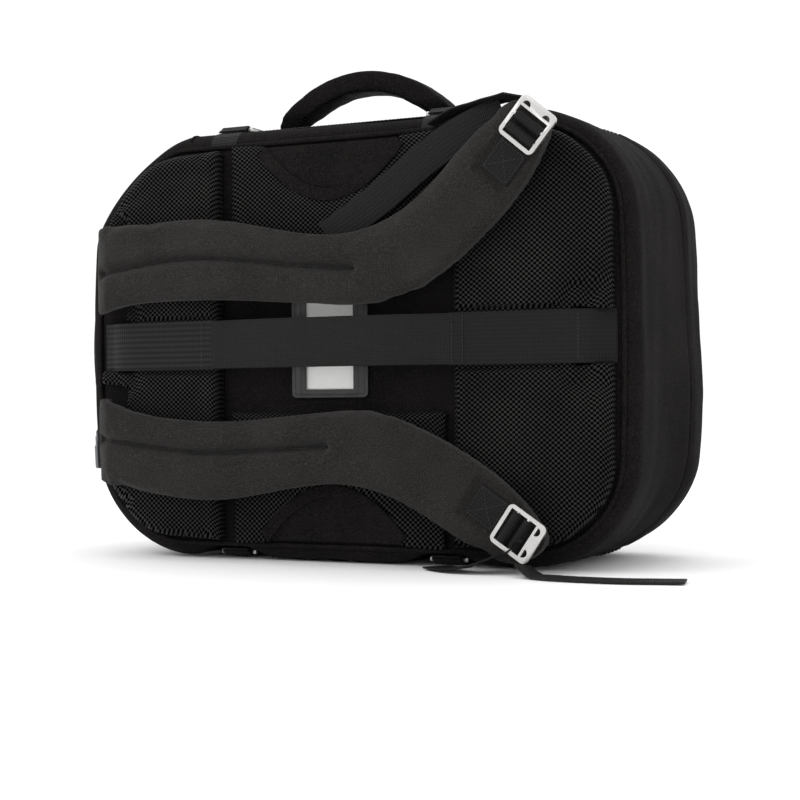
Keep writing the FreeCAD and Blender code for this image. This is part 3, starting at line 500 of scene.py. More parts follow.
def curve_through(points, step_mm, closed=False):
    """Points in millimetres about a step apart on a smooth line through the given ones."""
    points = [Vector(p) for p in points]
    count, made = len(points), []
    spans = count if closed else count - 1
    for i in range(spans):
        if closed:
            a, b, c, d = (points[(i + k - 1) % count] for k in range(4))
        else:
            a, b = points[max(i - 1, 0)], points[i]
            c, d = points[i + 1], points[min(i + 2, count - 1)]
        steps = max(1, round((c - b).length / step_mm))
        for k in range(steps):
            t = k / steps
            made.append(0.5 * (2 * b + (c - a) * t + (2 * a - 5 * b + 4 * c - d) * t * t
                               + (3 * b - a - 3 * c + d) * t ** 3))
    if not closed:
        made.append(points[-1])
    return made


def arc(centre, radius, start_deg, end_deg, u, w, steps=10):
    """Points on an arc in the plane of u and w."""
    made = []
    for i in range(steps + 1):
        turn = math.radians(start_deg + (end_deg - start_deg) * i / steps)
        made.append(centre + u * (radius * math.cos(turn)) + w * (radius * math.sin(turn)))
    return made


def directions(path, closed=False):
    """Unit tangent at each point of a path."""
    found, count = [], len(path)
    for i in range(count):
        before = path[(i - 1) % count] if closed else path[max(i - 1, 0)]
        after = path[(i + 1) % count] if closed else path[min(i + 1, count - 1)]
        found.append((after - before).normalized())
    return found


def loft(bm, rings, closed_rings=True, closed_path=False, cap=True):
    """Extrudes the first ring of points through the others, in millimetres."""
    count = len(rings[0])
    layers = [[bm.verts.new(p * MM) for p in rings[0]]]
    pairs = count if closed_rings else count - 1
    for i in range(pairs):
        bm.edges.new((layers[0][i], layers[0][(i + 1) % count]))
    for ring in rings[1:]:
        last = layers[-1]
        edges = [bm.edges.get((last[i], last[(i + 1) % count])) for i in range(pairs)]
        made = bmesh.ops.extrude_edge_only(bm, edges=edges)["geom"]
        fresh = {v: None for v in made if isinstance(v, bmesh.types.BMVert)}
        row = []
        for old in last:
            new = next(e.other_vert(old) for e in old.link_edges
                       if e.other_vert(old) in fresh)
            row.append(new)
        for vert, point in zip(row, ring):
            vert.co = point * MM
        layers.append(row)
    if closed_path:
        for i in range(pairs):
            j = (i + 1) % count
            bm.faces.new((layers[-1][i], layers[-1][j], layers[0][j], layers[0][i]))
    elif cap and closed_rings:
        for row in (layers[0], layers[-1]):
            bm.faces.new(row)
    return layers


def section(width, thickness):
    """Corners of a flat strip's cross-section, with rounded edges: (across, out) pairs."""
    half, thin = width / 2, thickness / 2
    lip = min(thin * 0.9, 0.45)
    side = [(half - lip * 1.6, -thin), (half - lip * 0.4, -thin * 0.75), (half, 0),
            (half - lip * 0.4, thin * 0.75), (half - lip * 1.6, thin)]
    middle = [(half * 0.4, thin), (-half * 0.4, thin)]
    other = [(-a, -b) for a, b in side]
    under = [(-half * 0.4, -thin), (half * 0.4, -thin)]
    return side + middle + other + under


def ribbon(name, path, across, width, thickness, material, body=None, waver=0.0,
           node=None):
    """Webbing along a path; its own strip coordinates run along and across it in metres."""
    bm = bmesh.new()
    uv = bm.loops.layers.uv.new("strip")
    tangents = directions(path)
    travelled, rings, places = 0.0, [], []
    profile = section(width, thickness)
    for i, point in enumerate(path):
        if i:
            travelled += (path[i] - path[i - 1]).length
        side = across[i] if isinstance(across, list) else across
        side = (side - tangents[i] * side.dot(tangents[i])).normalized()
        out = tangents[i].cross(side)
        lift = waver * noise.noise(Vector((travelled * 0.05, 3.1, 0)))
        rings.append([point + side * a + out * (b + lift) for a, b in profile])
        places.append([(travelled, a) for a, _ in profile])
    layers = loft(bm, rings)
    spot = {v: places[i][k] for i, row in enumerate(layers) for k, v in enumerate(row)}
    for face in bm.faces:
        for loop in face.loops:
            along, side = spot[loop.vert]
            loop[uv].uv = (along * MM, side * MM)
    bmesh.ops.recalc_face_normals(bm, faces=bm.faces)
    obj = make_object(name, bm, [material], body, 50)
    if node:
        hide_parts(node)
    return obj


def tube(bm, path, radius, closed):
    """A round cord along a path."""
    tangents, sides = directions(path, closed), 8
    rings = []
    side = INTO_PACK
    for point, tangent in zip(path, tangents):
        side = (side - tangent * side.dot(tangent)).normalized()
        other = tangent.cross(side)
        rings.append([point + (side * math.cos(a) + other * math.sin(a)) * radius
                      for a in (2 * math.pi * k / sides for k in range(sides))])
    return loft(bm, rings, closed_path=closed)


def cord_piece(name, paths, radius, material, body, closed=False):
    """Piping, binding or a welt: round cords sewn along the given paths."""
    bm = bmesh.new()
    for path in paths:
        tube(bm, path, radius, closed)
    bmesh.ops.recalc_face_normals(bm, faces=bm.faces)
    return make_object(name, bm, [material], body)


def bead_template():
    """A small rounded bar of one millimetre: one stitch or one zipper tooth before scaling."""
    bm = bmesh.new()
    rings = []
    for share, swell in ((-0.5, 0.35), (-0.3, 1.0), (0.3, 1.0), (0.5, 0.35)):
        rings.append([Vector((share, 0.5 * swell * a, 0.5 * swell * b))
                      for a, b in ((1, 0), (0.5, 0.87), (-0.5, 0.87), (-1, 0), (-0.5, -0.87),
                                   (0.5, -0.87))])
    loft(bm, rings)
    bmesh.ops.recalc_face_normals(bm, faces=bm.faces)
    mesh = bpy.data.meshes.new("bead")
    bm.to_mesh(mesh)
    bm.free()
    return mesh


def scatter(name, places, material, body):
    """One bead for each (centre, along, out, long, wide, high), sizes in millimetres."""
    template, bm = bead_template(), bmesh.new()
    for centre, along, out, long_mm, wide_mm, high_mm in places:
        side = out.cross(along).normalized()
        up = along.cross(side)
        turn = Matrix((along * long_mm, side * wide_mm, up * high_mm)).transposed().to_4x4()
        fresh = template.copy()
        fresh.transform(Matrix.Translation(centre * MM) @ turn)
        bm.from_mesh(fresh)
        bpy.data.meshes.remove(fresh)
    bpy.data.meshes.remove(template)
    return make_object(name, bm, [material], body)


def stitches(name, lines, body, out=DOWN_FACE, pitch=None, closed=False, wide=0.75):
    """Sewn lines: one bead for each stitch."""
    pitch = pitch or size("stitch_pitch")
    places = []
    for line in lines:
        path = even(line, pitch, closed)
        for a, b in zip(path, path[1:]):
            facing = out(a) if callable(out) else out
            places.append(((a + b) / 2, (b - a).normalized(), facing, pitch * 0.68, wide,
                           wide * 0.8))
    return scatter(name, places, "thread", body)


def even(points, step, closed=False):
    """Points an even step apart along a polyline."""
    line = [Vector(p) for p in points]
    if closed:
        line.append(line[0])
    gaps = [(b - a).length for a, b in zip(line, line[1:])]
    count = max(2, round(sum(gaps) / step))
    made, i, done = [], 0, 0.0
    for k in range(count + 1):
        want = sum(gaps) * k / count
        while i < len(gaps) - 1 and done + gaps[i] < want:
            done += gaps[i]
            i += 1
        share = (want - done) / max(gaps[i], 1e-9)
        made.append(line[i].lerp(line[i + 1], min(1.0, share)))
    return made


def coil(name, path, outs, side, body, width=3.6):
    """A coil zipper: two rows of teeth that meet on the path."""
    pitch, places = size("coil_pitch"), []
    for i in range(len(path) - 1):
        shift = width * 0.17 * (1 if i % 2 else -1)
        places.append((path[i] + side * shift, side, outs[i], width * 0.72, pitch * 0.86, 1.5))
    return scatter(name, places, "coil", body)


def copy_of(*nodes):
    """The CAD nodes' meshes as one merged bmesh."""
    bm = bmesh.new()
    for node in nodes:
        bm.from_mesh(frame["nodes"][node].data)
    bmesh.ops.remove_doubles(bm, verts=bm.verts, dist=1e-5)
    return bm


def softened(node, width_mm, materials, segments=3):
    """A detailed copy of a hard part, with every sharp edge rounded."""
    bm = copy_of(node)
    bmesh.ops.dissolve_limit(bm, angle_limit=math.radians(1.0), verts=bm.verts,
                             edges=bm.edges, delimit={"NORMAL"})
    edges = [e for e in bm.edges if len(e.link_faces) == 2
             and e.calc_face_angle(0.0) > math.radians(32)]
    bmesh.ops.bevel(bm, geom=edges, offset=width_mm * MM, affect="EDGES", segments=segments,
                    profile=0.5, material=-1, clamp_overlap=True)
    obj = make_object(node + "_finished", bm, materials,
                      frame["nodes"][node]["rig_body"], 40)
    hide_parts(node)
    return obj


def rim_line(node, direction, inset, step=4.0):
    """The edge of a CAD node's face that looks along direction, moved in by inset, in mm."""
    bm = copy_of(node)
    facing = {f for f in bm.faces if f.normal.dot(direction) > 0.9}
    links = {}
    for edge in bm.edges:
        if len([f for f in edge.link_faces if f in facing]) == 1:
            for vert in edge.verts:
                links.setdefault(vert, []).append(edge)
    loops, left = [], set(links)
    while left:
        begin = left.pop()
        line, now, last = [begin.co / MM], begin, None
        while True:
            edge = next((e for e in links[now] if e is not last), None)
            if edge is None:
                break
            last, now = edge, edge.other_vert(now)
            if now is begin:
                break
            left.discard(now)
            line.append(now.co / MM)
        loops.append(line)
    bm.free()
    line = even(max(loops, key=len), step, True)[:-1]
    tangents = directions(line, True)
    middle = sum(line, Vector()) / len(line)
    turned = sum((p - middle).dot(direction.cross(t)) for p, t in zip(line, tangents))
    sign = -1 if turned > 0 else 1
    return [p + direction.cross(t) * (sign * inset) for p, t in zip(line, tangents)]


# ---- padding ----------------------------------------------------------------------------
def padded_piece(name, nodes, materials, body, cap=None, shrink=0.8, hold=None,
                 shape=None):
    """Copies CAD solids, remeshes them, blows them up as cloth and smooths the result."""
    bm = copy_of(*nodes)
    obj = make_object(name, bm, materials)
    settings = bpy.context.scene.pack_padding
    obj.data.remesh_voxel_size = settings.voxel
    obj.data.use_remesh_fix_poles = False
    bpy.ops.object.select_all(action="DESELECT")
    bpy.context.view_layer.objects.active = obj
    obj.select_set(True)
    bpy.ops.object.voxel_remesh()
    mesh = obj.data
    count = len(mesh.vertices)
    rest, normals = np.zeros(count * 3), np.zeros(count * 3)
    mesh.vertices.foreach_get("co", rest)
    mesh.vertices.foreach_get("normal", normals)
    rest, normals = rest.reshape(-1, 3), normals.reshape(-1, 3)
    begun = rest - normals * shrink * MM
    mesh.vertices.foreach_set("co", begun.ravel())
    mesh.update()
    ended = inflated(obj, settings)
    moved = ended - begun
    reach = np.linalg.norm(moved, axis=1)
    limit = settings.cap if cap is None else cap * MM
    moved *= np.minimum(1.0, limit / np.maximum(reach, 1e-9))[:, None]
    result = begun + moved
    if hold is not None:
        result = hold(rest, result)
    mesh.vertices.foreach_set("co", result.ravel())
    bm = bmesh.new()
    bm.from_mesh(mesh)
    bmesh.ops.smooth_vert(bm, verts=bm.verts, factor=0.5, use_axis_x=True, use_axis_y=True,
                          use_axis_z=True)
    bmesh.ops.subdivide_edges(bm, edges=bm.edges, cuts=1, use_grid_fill=True, smooth=0.6)
    if shape is not None:
        shape(bm)
    bm.to_mesh(mesh)
    bm.free()
    mesh.polygons.foreach_set("use_smooth", [True] * len(mesh.polygons))
    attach(obj, body)
    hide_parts(*nodes)
    return obj


def inflated(obj, settings):
    """Where the vertices end when the closed mesh is blown up, with no gravity."""
    modifier = obj.modifiers.new("Padding", "CLOTH")
    cloth = modifier.settings
    cloth.quality = 4
    cloth.use_pressure = True
    cloth.uniform_pressure_force = settings.pressure
    cloth.effector_weights.gravity = 0.0
    cloth.tension_stiffness = 12.0
    cloth.compression_stiffness = 12.0
    cloth.bending_stiffness = 0.4
    scene = bpy.context.scene
    modifier.point_cache.frame_start = 1
    modifier.point_cache.frame_end = settings.frames
    for number in range(1, settings.frames + 1):
        scene.frame_set(number)
    graph = bpy.context.evaluated_depsgraph_get()
    mesh = obj.evaluated_get(graph).to_mesh()
    points = np.zeros(len(mesh.vertices) * 3)
    mesh.vertices.foreach_get("co", points)
    obj.evaluated_get(graph).to_mesh_clear()
    obj.modifiers.remove(modifier)
    scene.frame_set(1)
    return points.reshape(-1, 3)


def keep_back(limit_mm):
    """Holds what lies on the back panel: no point goes behind that depth."""
    def hold(rest, result):
        result[:, 1] = np.minimum(result[:, 1], limit_mm * MM)
        return result
    return hold


def press_lines(bm, lines, deep, wide, direction):
    """Presses sewn channels into the face that looks along direction."""
    points = [p for line in lines for p in even(line, 2.0)]
    axes = [i for i in range(3) if abs(direction[i]) < 0.5]
    grid = np.array([[p[axes[0]], p[axes[1]]] for p in points])
    for vert in bm.verts:
        if vert.normal.dot(direction) < 0.1:
            continue
        here = vert.co / MM
        gap = np.min((grid[:, 0] - here[axes[0]]) ** 2 + (grid[:, 1] - here[axes[1]]) ** 2)
        if gap < (3 * wide) ** 2:
            vert.co -= direction * (deep * MM * math.exp(-gap / (2 * wide * wide)))


# ---- the pack's outline -----------------------------------------------------------------
def eased(value, low, high):
    """0 below low, 1 above high and a straight rise between them."""
    return min(1.0, max(0.0, (value - low) / (high - low)))


def rounded_ring(cx, cz, half_x, half_z, radii, y, steps=9, runs=(26, 22)):
    """A rounded rectangle in X and Z at a depth; its radii are those at -X and at +X."""
    def on_corner(k, degrees):
        sx, sz = ((1, 1), (-1, 1), (-1, -1), (1, -1))[k % 4]
        radius, turn = radii[sx > 0], math.radians(degrees)
        return Vector((cx + sx * (half_x - radius) + radius * math.cos(turn), y,
                       cz + sz * (half_z - radius) + radius * math.sin(turn)))

    ring = []
    for k in range(4):
        ring += [on_corner(k, 90 * k + 90 * i / steps) for i in range(steps)]
        a, b = on_corner(k, 90 * k + 90), on_corner(k + 1, 90 * k + 90)
        ring += [a.lerp(b, i / runs[k % 2]) for i in range(runs[k % 2])]
    return ring


def outline(inset, y, sides=(30, 18), corner_steps=14, tuck=0.85):
    """One ring round the pack at a depth, moved in by inset, in millimetres.

    At the hinge the cloth on either side is tucked in, under the flap that covers both.
    """
    radii = [max(4.0, size(key) - inset) for key in ("top_corner", "bottom_corner")]
    full = size("body_width") / 2
    ring = rounded_ring(0.0, 0.0, size("body_length") / 2 - inset, full - inset, radii, y,
                        corner_steps, sides)
    bowed = []
    for x, _, z in ring:
        bulge = -size("top_bulge") if x < 0 else size("bottom_bulge")
        bow = bulge * (1 - (z / full) ** 2)
        if x > 0:
            sag = size("bottom_sag") * math.exp(-((y - SIDE_HIGH.y) / 42) ** 2)
            sag *= 1 - tuck * math.exp(-((y - SIDE_HIGH.y - 2.5) / 9) ** 2)
            low = eased(-z, 0, full / 4)
            bow += sag * (1 + 0.25 * low) * (1 - abs(z / full) ** (2 + low))
        point = Vector((x + bow * eased(abs(x), 90, 210) ** 2, y, z + CENTRE_Z))
        bowed.append(cut_corner(point))
    return bowed


def cut_corner(point):
    """Draws the corner between the top end and the carry side in, as its slack cloth sits."""
    share = eased(-point.x, 150, 234) * eased(point.z - CENTRE_Z, 90, 175)
    return point + Vector((1, 0, -0.8)) * (size("corner_slack") * share)


def shrunk(ring, share, y, x=0.0, z=CENTRE_Z):
    """The ring drawn in towards the pack's middle or another one, at a depth."""
    middle = Vector((x, y, z))
    return [middle + (Vector((p.x, y, p.z)) - middle) * share for p in ring]


def narrowing(base, shares, y, lift):
    """Ever smaller rings; lift says how far the cloth stands off at a point."""
    return [[p + INTO_PACK * lift(p) for p in shrunk(base, share, y)] for share in shares]


def outward(point):
    """Which way the pack's wall faces at a point of its outline."""
    half_x, half_z = size("body_length") / 2, size("body_width") / 2
    x, z = point.x, point.z - CENTRE_Z
    radius = size("bottom_corner" if x > 0 else "top_corner")
    dx = max(0.0, abs(x) - (half_x - radius))
    dz = max(0.0, abs(z) - (half_z - radius))
    if dx == 0 and dz == 0:
        return Vector((0, 0, math.copysign(1, z)))
    return Vector((math.copysign(dx, x), 0, math.copysign(dz, z))).normalized()


def slack(point, amount):
    """How far loose cloth stands off its pattern, in mm, at a point in mm."""
    broad = noise.noise(point * 0.011 + Vector((5.3, 0, 1.7)))
    streak = noise.noise(Vector((point.x * 0.035, point.y * 0.006, point.z * 0.006)))
    fine = noise.noise(point * 0.045)
    folds = noise.noise(Vector((2.0, point.y * 0.055, point.z * 0.007)))
    folds *= eased(point.x, 170, 225)
    return amount * (broad * 0.9 + streak * 0.5 + fine * 0.25 + folds * 1.1)


def wall_rings():
    """Rings of the rear shell, from its back seam to the main zipper."""
    y_back, rim = SIDE_LOW.y, size("back_rim")
    pairs = [(size("seam_inset"), y_back)]
    for i in range(1, 6):
        turn = math.radians(90 * i / 5)
        pairs.append((rim * (1 - math.sin(turn)), y_back + rim * (1 - math.cos(turn))))
    steps = 16
    for i in range(1, steps + 1):
        pairs.append((0.0, y_back + rim + (SIDE_HIGH.y - y_back - rim) * i / steps))
    return [outline(inset, y) for inset, y in pairs]


def dented(point):
    """Presses the resting side in round its two lash straps."""
    if point.z > 30:
        return 0.0
    deep = 0.0
    for number in (1, 2):
        low, high = box_mm(f"lash_buckle_rest_{number}")
        gap_x = max(low.x - point.x, point.x - high.x, 0.0)
        gap_y = max(low.y - 10 - point.y, point.y - high.y - 4, 0.0)
        deep = max(deep, 8.5 * math.exp(-(gap_x * gap_x + gap_y * gap_y) / 110))
    return deep


def loosen(rings, amount, hold_first, hold_last):
    """Adds slack to the rings, less of it near the sewn edges."""
    count = len(rings)
    for i, ring in enumerate(rings):
        ease = eased(i, 0, hold_first) * eased(count - 1 - i, 0, hold_last)
        for k, point in enumerate(ring):
            out = outward(point)
            shift = slack(point, amount) * ease
            if point.z < RESTING_Z:
                shift = min(shift, 0.0)
            ring[k] = point + out * (shift - 0.4) + Vector((0, 0, dented(point)))
    return rings


# ---- pieces -----------------------------------------------------------------------------
def fill_seam(bm, grow):
    """Lets the pads' outer edges reach the piping."""
    side_x, side_z = size("body_length") / 2 - 39, size("body_width") / 2 - 45
    for vert in bm.verts:
        x, z = vert.co.x / MM, vert.co.z / MM - CENTRE_Z
        vert.co.x += math.copysign(grow * MM * eased(abs(x), side_x, side_x + 20), x)
        vert.co.z += math.copysign(grow * MM * eased(abs(z), side_z, side_z + 20), z)
        vert.co = cut_corner(vert.co / MM) * MM


def flatten(bm, level, share, inside):
    """Holds back what stands further out than a level, where inside says so."""
    for vert in bm.verts:
        point = vert.co / MM
        if point.y < level and inside(point):
            vert.co.y = (level + (point.y - level) * share) * MM


class BackPads(bpy.types.Operator):
    """Spacer-mesh pads above and below the trolley channel, with their chamfered borders"""

    bl_idname = "travelpack.back_pads"
    bl_label = "Back pads"

    def execute(self, context):
        back = SIDE_LOW.y
        for node, fill in (("upper_back_pad", 0.7), ("lumbar_pad", 0.7)):
            border = rim_line(node, DOWN_FACE, 17.0)
            face = box_mm(node)[0].y
            half = size("trolley_width") / 2 + 4

            def shape(bm, border=border, face=face):
                press_lines(bm, [border + border[:1]], 2.2, 3.4, DOWN_FACE)
                flatten(bm, face - 1, 0.3, lambda p: True)
                flatten(bm, face + 0.6, 0.1, lambda p: abs(p.z - CENTRE_Z) < half)
                fill_seam(bm, 2.6)

            padded_piece(node + "_soft", [node], ["mesh"], "pack", 5.0,
                         0.8, keep_back(back), shape)
        padded_piece("side_mesh_strips_soft", ["side_mesh_strips"], ["mesh"], "pack",
                     3.0, 0.4, keep_back(back),
                     lambda bm: fill_seam(bm, 2.6))
        return {"FINISHED"}


class ShoulderStraps(bpy.types.Operator):
    """The two padded straps with their sewn channels"""

    bl_idname = "travelpack.shoulder_straps"
    bl_label = "Shoulder straps"

    def execute(self, context):
        grooves = {"upper": [(-214, 236), (-126, 245), (-24, 235), (20, 231)],
                   "lower": [(-216, 98), (-124, 88), (-60, 90), (-4, 93)]}
        for side, points in grooves.items():
            node = "shoulder_strap_" + side
            low, high = box_mm(node)
            face = low.y
            channel = curve_through([(x, face, z) for x, z in points], 4.0)
            bar, axes = bar_of(side), strap_axes(side)

            def sewn_down(point, bar=bar, axes=axes):
                """Whether the point lies under the webbing patch."""
                gap = point - bar
                return -42 < gap.dot(axes[0]) < 30 and abs(gap.dot(axes[1])) < 17

            def shape(bm, channel=channel, face=face, sewn_down=sewn_down):
                press_lines(bm, [channel], -1.6, 9.0, DOWN_FACE)
                press_lines(bm, [channel], 8.6, 2.9, DOWN_FACE)
                flatten(bm, face + 0.2, 0.08, sewn_down)

            strap = padded_piece(node + "_soft", [node], ["strap"], "strap_" + side,
                                 4.5, 1.0, None, shape)
            sewn = on_surface(strap, [channel], DOWN_FACE, 0.2)
            cord_piece(node + "_seam", sewn, 0.8, "seam", "strap_" + side)
        return {"FINISHED"}


def on_surface(obj, lines, direction, proud):
    """The lines laid on a piece's face that looks along direction."""
    graph = bpy.context.evaluated_depsgraph_get()
    graph.update()
    target = obj.evaluated_get(graph)
    made = []
    for line in lines:
        laid = []
        for point in line:
            begin = point * MM + direction * 0.06
            hit, place, _, _ = target.ray_cast(begin, -direction)
            if hit:
                laid.append(place / MM + direction * proud)
        if len(laid) > 1:
            made.append(laid)
    return made


class Handles(bpy.types.Operator):
    """The padded carry handle, the flatter handle on the pack's top and their sewn tabs"""

    bl_idname = "travelpack.handles"
    bl_label = "Handles"

    def execute(self, context):
        carry = padded_piece("carry_handle_soft", ["carry_handle"], ["cloth", "mesh_low"],
                             "carry_handle", 3.0, 0.6)
        self.line_with_mesh(carry, -UP)
        grab = padded_piece("grab_handle_soft", ["grab_handle"], ["strap", "mesh_low"],
                            "grab_handle", 2.0, 0.4)
        self.line_with_mesh(grab, LENGTHWAYS)
        for node, out in (("carry_handle_tabs", UP), ("grab_handle_tabs", -LENGTHWAYS)):
            softened(node, 0.7, ["web_object"], 2)
            lines = []
            bm = copy_of(node)
            for part in islands(bm):
                low = Vector([min(v.co[i] for v in part) for i in range(3)]) / MM
                high = Vector([max(v.co[i] for v in part) for i in range(3)]) / MM
                lines.append(box_stitch(low, high, out, 4.0))
            bm.free()
            stitches(node + "_stitches", lines, "pack", out)
        return {"FINISHED"}

    def line_with_mesh(self, obj, direction):
        """The side that the fingers touch is spacer mesh."""
        for face in obj.data.polygons:
            if face.normal.dot(direction) > 0.62:
                face.material_index = 1


def islands(bm):
    """Groups of connected vertices."""
    left, made = set(bm.verts), []
    while left:
        group, queue = [], [left.pop()]
        while queue:
            vert = queue.pop()
            group.append(vert)
            for edge in vert.link_edges:
                other = edge.other_vert(vert)
                if other in left:
                    left.discard(other)
                    queue.append(other)
        made.append(group)
    return made


def box_stitch(low, high, out, inset):
    """A closed sewn rectangle on the outer face of a block."""
    axis = max(range(3), key=lambda i: abs(out[i]))
    level = (high if out[axis] > 0 else low)[axis]
    a, b = [i for i in range(3) if i != axis]
    corners = []
    for u, v in ((0, 0), (1, 0), (1, 1), (0, 1), (0, 0)):
        point = Vector()
        point[axis] = level
        point[a] = (high[a] - inset) if u else (low[a] + inset)
        point[b] = (high[b] - inset) if v else (low[b] + inset)
        corners.append(point + out * 0.1)
    return corners


def strap_axes(side):
    """Along a strap's end, across it, and off its face."""
    turn = math.radians(END_TILT[side])
    return (Vector((math.cos(turn), 0, math.sin(turn))),
            Vector((-math.sin(turn), 0, math.cos(turn))), DOWN_FACE)


def bar_of(side):
    """The fixed bar of a strap's ladder lock, worked out from the lock's box, in mm."""
    low, high = box_mm("ladder_lock_" + side)
    u, _, _ = strap_axes(side)
    return (low + high) / 2 - u * BAR_TO_MIDDLE


class StrapEnds(bpy.types.Operator):
    """Ladder locks, sewn webbing patches and the adjusting webbing with its free ends"""

    bl_idname = "travelpack.strap_ends"
    bl_label = "Strap ends"

    def execute(self, context):
        thick, wide = size("web_thickness"), size("webbing")
        for side in ("upper", "lower"):
            u, v, w = strap_axes(side)
            bar = bar_of(side)
            face = box_mm("shoulder_strap_" + side)[0].y
            drop = abs(bar.y - face)
            softened("ladder_lock_" + side, 0.95, ["metal"], 4)
            low_level, top_level = -drop - 0.1, -drop + 0.8
            path = [bar + u * -37.5 + w * low_level, bar + u * -16 + w * low_level,
                    bar + u * -6 + w * (low_level + 0.2)]
            path += arc(bar, WRAP_RADIUS, -90, 212, u, w, 16)
            path += [bar + u * -4.6 + w * (top_level + 0.7), bar + u * -8 + w * top_level,
                     bar + u * -20 + w * top_level, bar + u * -37 + w * top_level]
            ribbon(f"strap_patch_{side}_web", path, v, wide + 1.4, thick, "web_cross",
                   "strap_" + side, node="strap_patch_" + side)
            top = bar + w * (top_level + thick / 2 + 0.1)
            square = [top + u * a + v * b for a, b in
                      ((-35.5, -11.4), (-12, -11.4), (-12, 11.4), (-35.5, 11.4),
                       (-35.5, -11.4))]
            cross = [[top + u * -35 + v * -11, top + u * -12.5 + v * 11],
                     [top + u * -35 + v * 11, top + u * -12.5 + v * -11]]
            stitches(f"strap_patch_{side}_stitches", [square] + cross, "strap_" + side,
                     w, 2.6, wide=0.6)
            middle = bar + u * BAR_SPACING
            path = ([middle + u * -2.6 + w * -4.6] + arc(middle, 2.6, 180, 0, u, w, 10)
                    + [middle + u * 2.6 + w * -4.6])
            ribbon(f"web_wrap_{side}_web", path, v, wide, thick, "web_cross", "lock_" + side,
                   node="web_wrap_" + side)
        self.anchors(thick, wide)
        self.tails(thick, wide)
        return {"FINISHED"}

    def anchors(self, thick, wide):
        for side in ("upper", "lower"):
            node = "anchor_web_" + side
            low, high = box_mm(node)
            u, v, w = strap_axes(side)
            slot = bar_of(side) + u * BAR_SPACING + w * -4.4
            level = (low.z + high.z) / 2
            if side == "upper":
                points = [(78, -93, level - 12), (96, -95, level - 4), (118, -100, level - 0.5),
                          (134, -105, level + 1.2)]
                ends = [Vector((151, -112, level + 2.4))]
            else:
                points = [(82, -104, 1.2), (98, -117, 1.6), (116, -124, 5)]
                ends = [slot + Vector((-12, 3, -12)), slot + INTO_PACK]
            path = curve_through([Vector(p) for p in points] + ends, 4.0)
            sides = []
            for i, point in enumerate(path):
                share = max(0.0, (i / (len(path) - 1) - 0.72) / 0.28) * (side == "lower")
                flat = (directions(path)[i].cross(UP)).normalized()
                sides.append(flat.lerp(v if flat.dot(v) > 0 else -v, share).normalized())
            web = ribbon(node + "_ribbed", path, sides, wide, thick, "web_cross", None,
                         0.8 if side == "upper" else 0.0)
            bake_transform(web)
            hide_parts(node)

    def tails(self, thick, wide):
        low, high = box_mm("tail_web_upper")
        y = (low.y + high.y) / 2
        path = curve_through([(-8, y, 257), (12, y, 269), (42, y, 288), (78, y, 314),
                              (108, y, 331), (141, y, 343)], 5.0)
        ribbon("tail_web_upper_ribbed", path, Vector((-0.5, 0, 0.87)), wide + 2, thick,
               "web_cross", "strap_upper", 0.6, "tail_web_upper")
        low, high = box_mm("tail_web_lower")
        y, z = (low.y + high.y) / 2, 1.0
        path = curve_through([(low.x + 2, y + 6, 8), (low.x + 12, y + 3, 1.6),
                              (low.x + 34, y - 5, z), (low.x + 76, y - 6, z),
                              (high.x - 16, y + 2, z), (high.x - 1, y + 5, z + 0.2)], 5.0)
        ribbon("tail_web_lower_ribbed", path, INTO_PACK, wide - 1, thick, "web_long",
               "strap_lower", node="tail_web_lower")


class TrolleyStrap(bpy.types.Operator):
    """Webbing, elastic and webbing sewn end to end, that slips over a trolley handle"""

    bl_idname = "travelpack.trolley_strap"
    bl_label = "Trolley strap"

    def execute(self, context):
        wide = size("trolley_width")
        top_low, top_high = box_mm("trolley_web_top")
        low, high = box_mm("trolley_web_bottom")
        mid_low, mid_high = box_mm("trolley_elastic")
        pad = box_mm("upper_back_pad")[0].y
        z = CENTRE_Z
        runs = {
            "trolley_web_top": ([(top_low.x, -96.2, z), (top_low.x + 10, -100.5, z),
                                 (-200, pad - 1.6, z), (-160, pad - 2.4, z),
                                 (top_high.x + 9, pad - 4.4, z)], "web_long"),
            "trolley_elastic": ([(mid_low.x - 5, pad - 2.4, z), (-98, pad - 6.5, z),
                                 (-60, mid_low.y + 2.4, z), (-7, mid_low.y + 0.9, z),
                                 (46, mid_low.y + 2.4, z), (84, pad - 6.5, z),
                                 (mid_high.x + 5, pad - 2.4, z)], "elastic"),
            "trolley_web_bottom": ([(low.x - 9, pad - 4.4, z), (148, pad - 2.4, z),
                                    (196, pad - 1.8, z), (high.x - 10, -100.5, z),
                                    (high.x, -96.2, z)], "web_cross"),
        }
        for node, (points, material) in runs.items():
            path = curve_through([Vector(p) for p in points], 4.0)
            stretchy = material == "elastic"
            ribbon(node + "_woven", path, UP, wide - (1 if stretchy else 0), 1.7, material,
                   "pack", 0.5, node)
        lines = []
        for x in (top_high.x + 6, top_high.x - 3, low.x - 6, low.x + 3):
            y = pad - (4.5 if abs(x) > 112 else 5.3)
            lines.append([Vector((x, y, z - 18)), Vector((x, y, z + 18))])
        for x in (top_low.x + 26, high.x - 26):
            lines.append([Vector((x, pad - 1.9, z - 17)), Vector((x, pad - 1.9, z + 17))])
        stitches("trolley_strap_stitches", lines, "pack", DOWN_FACE, 2.6)
        return {"FINISHED"}


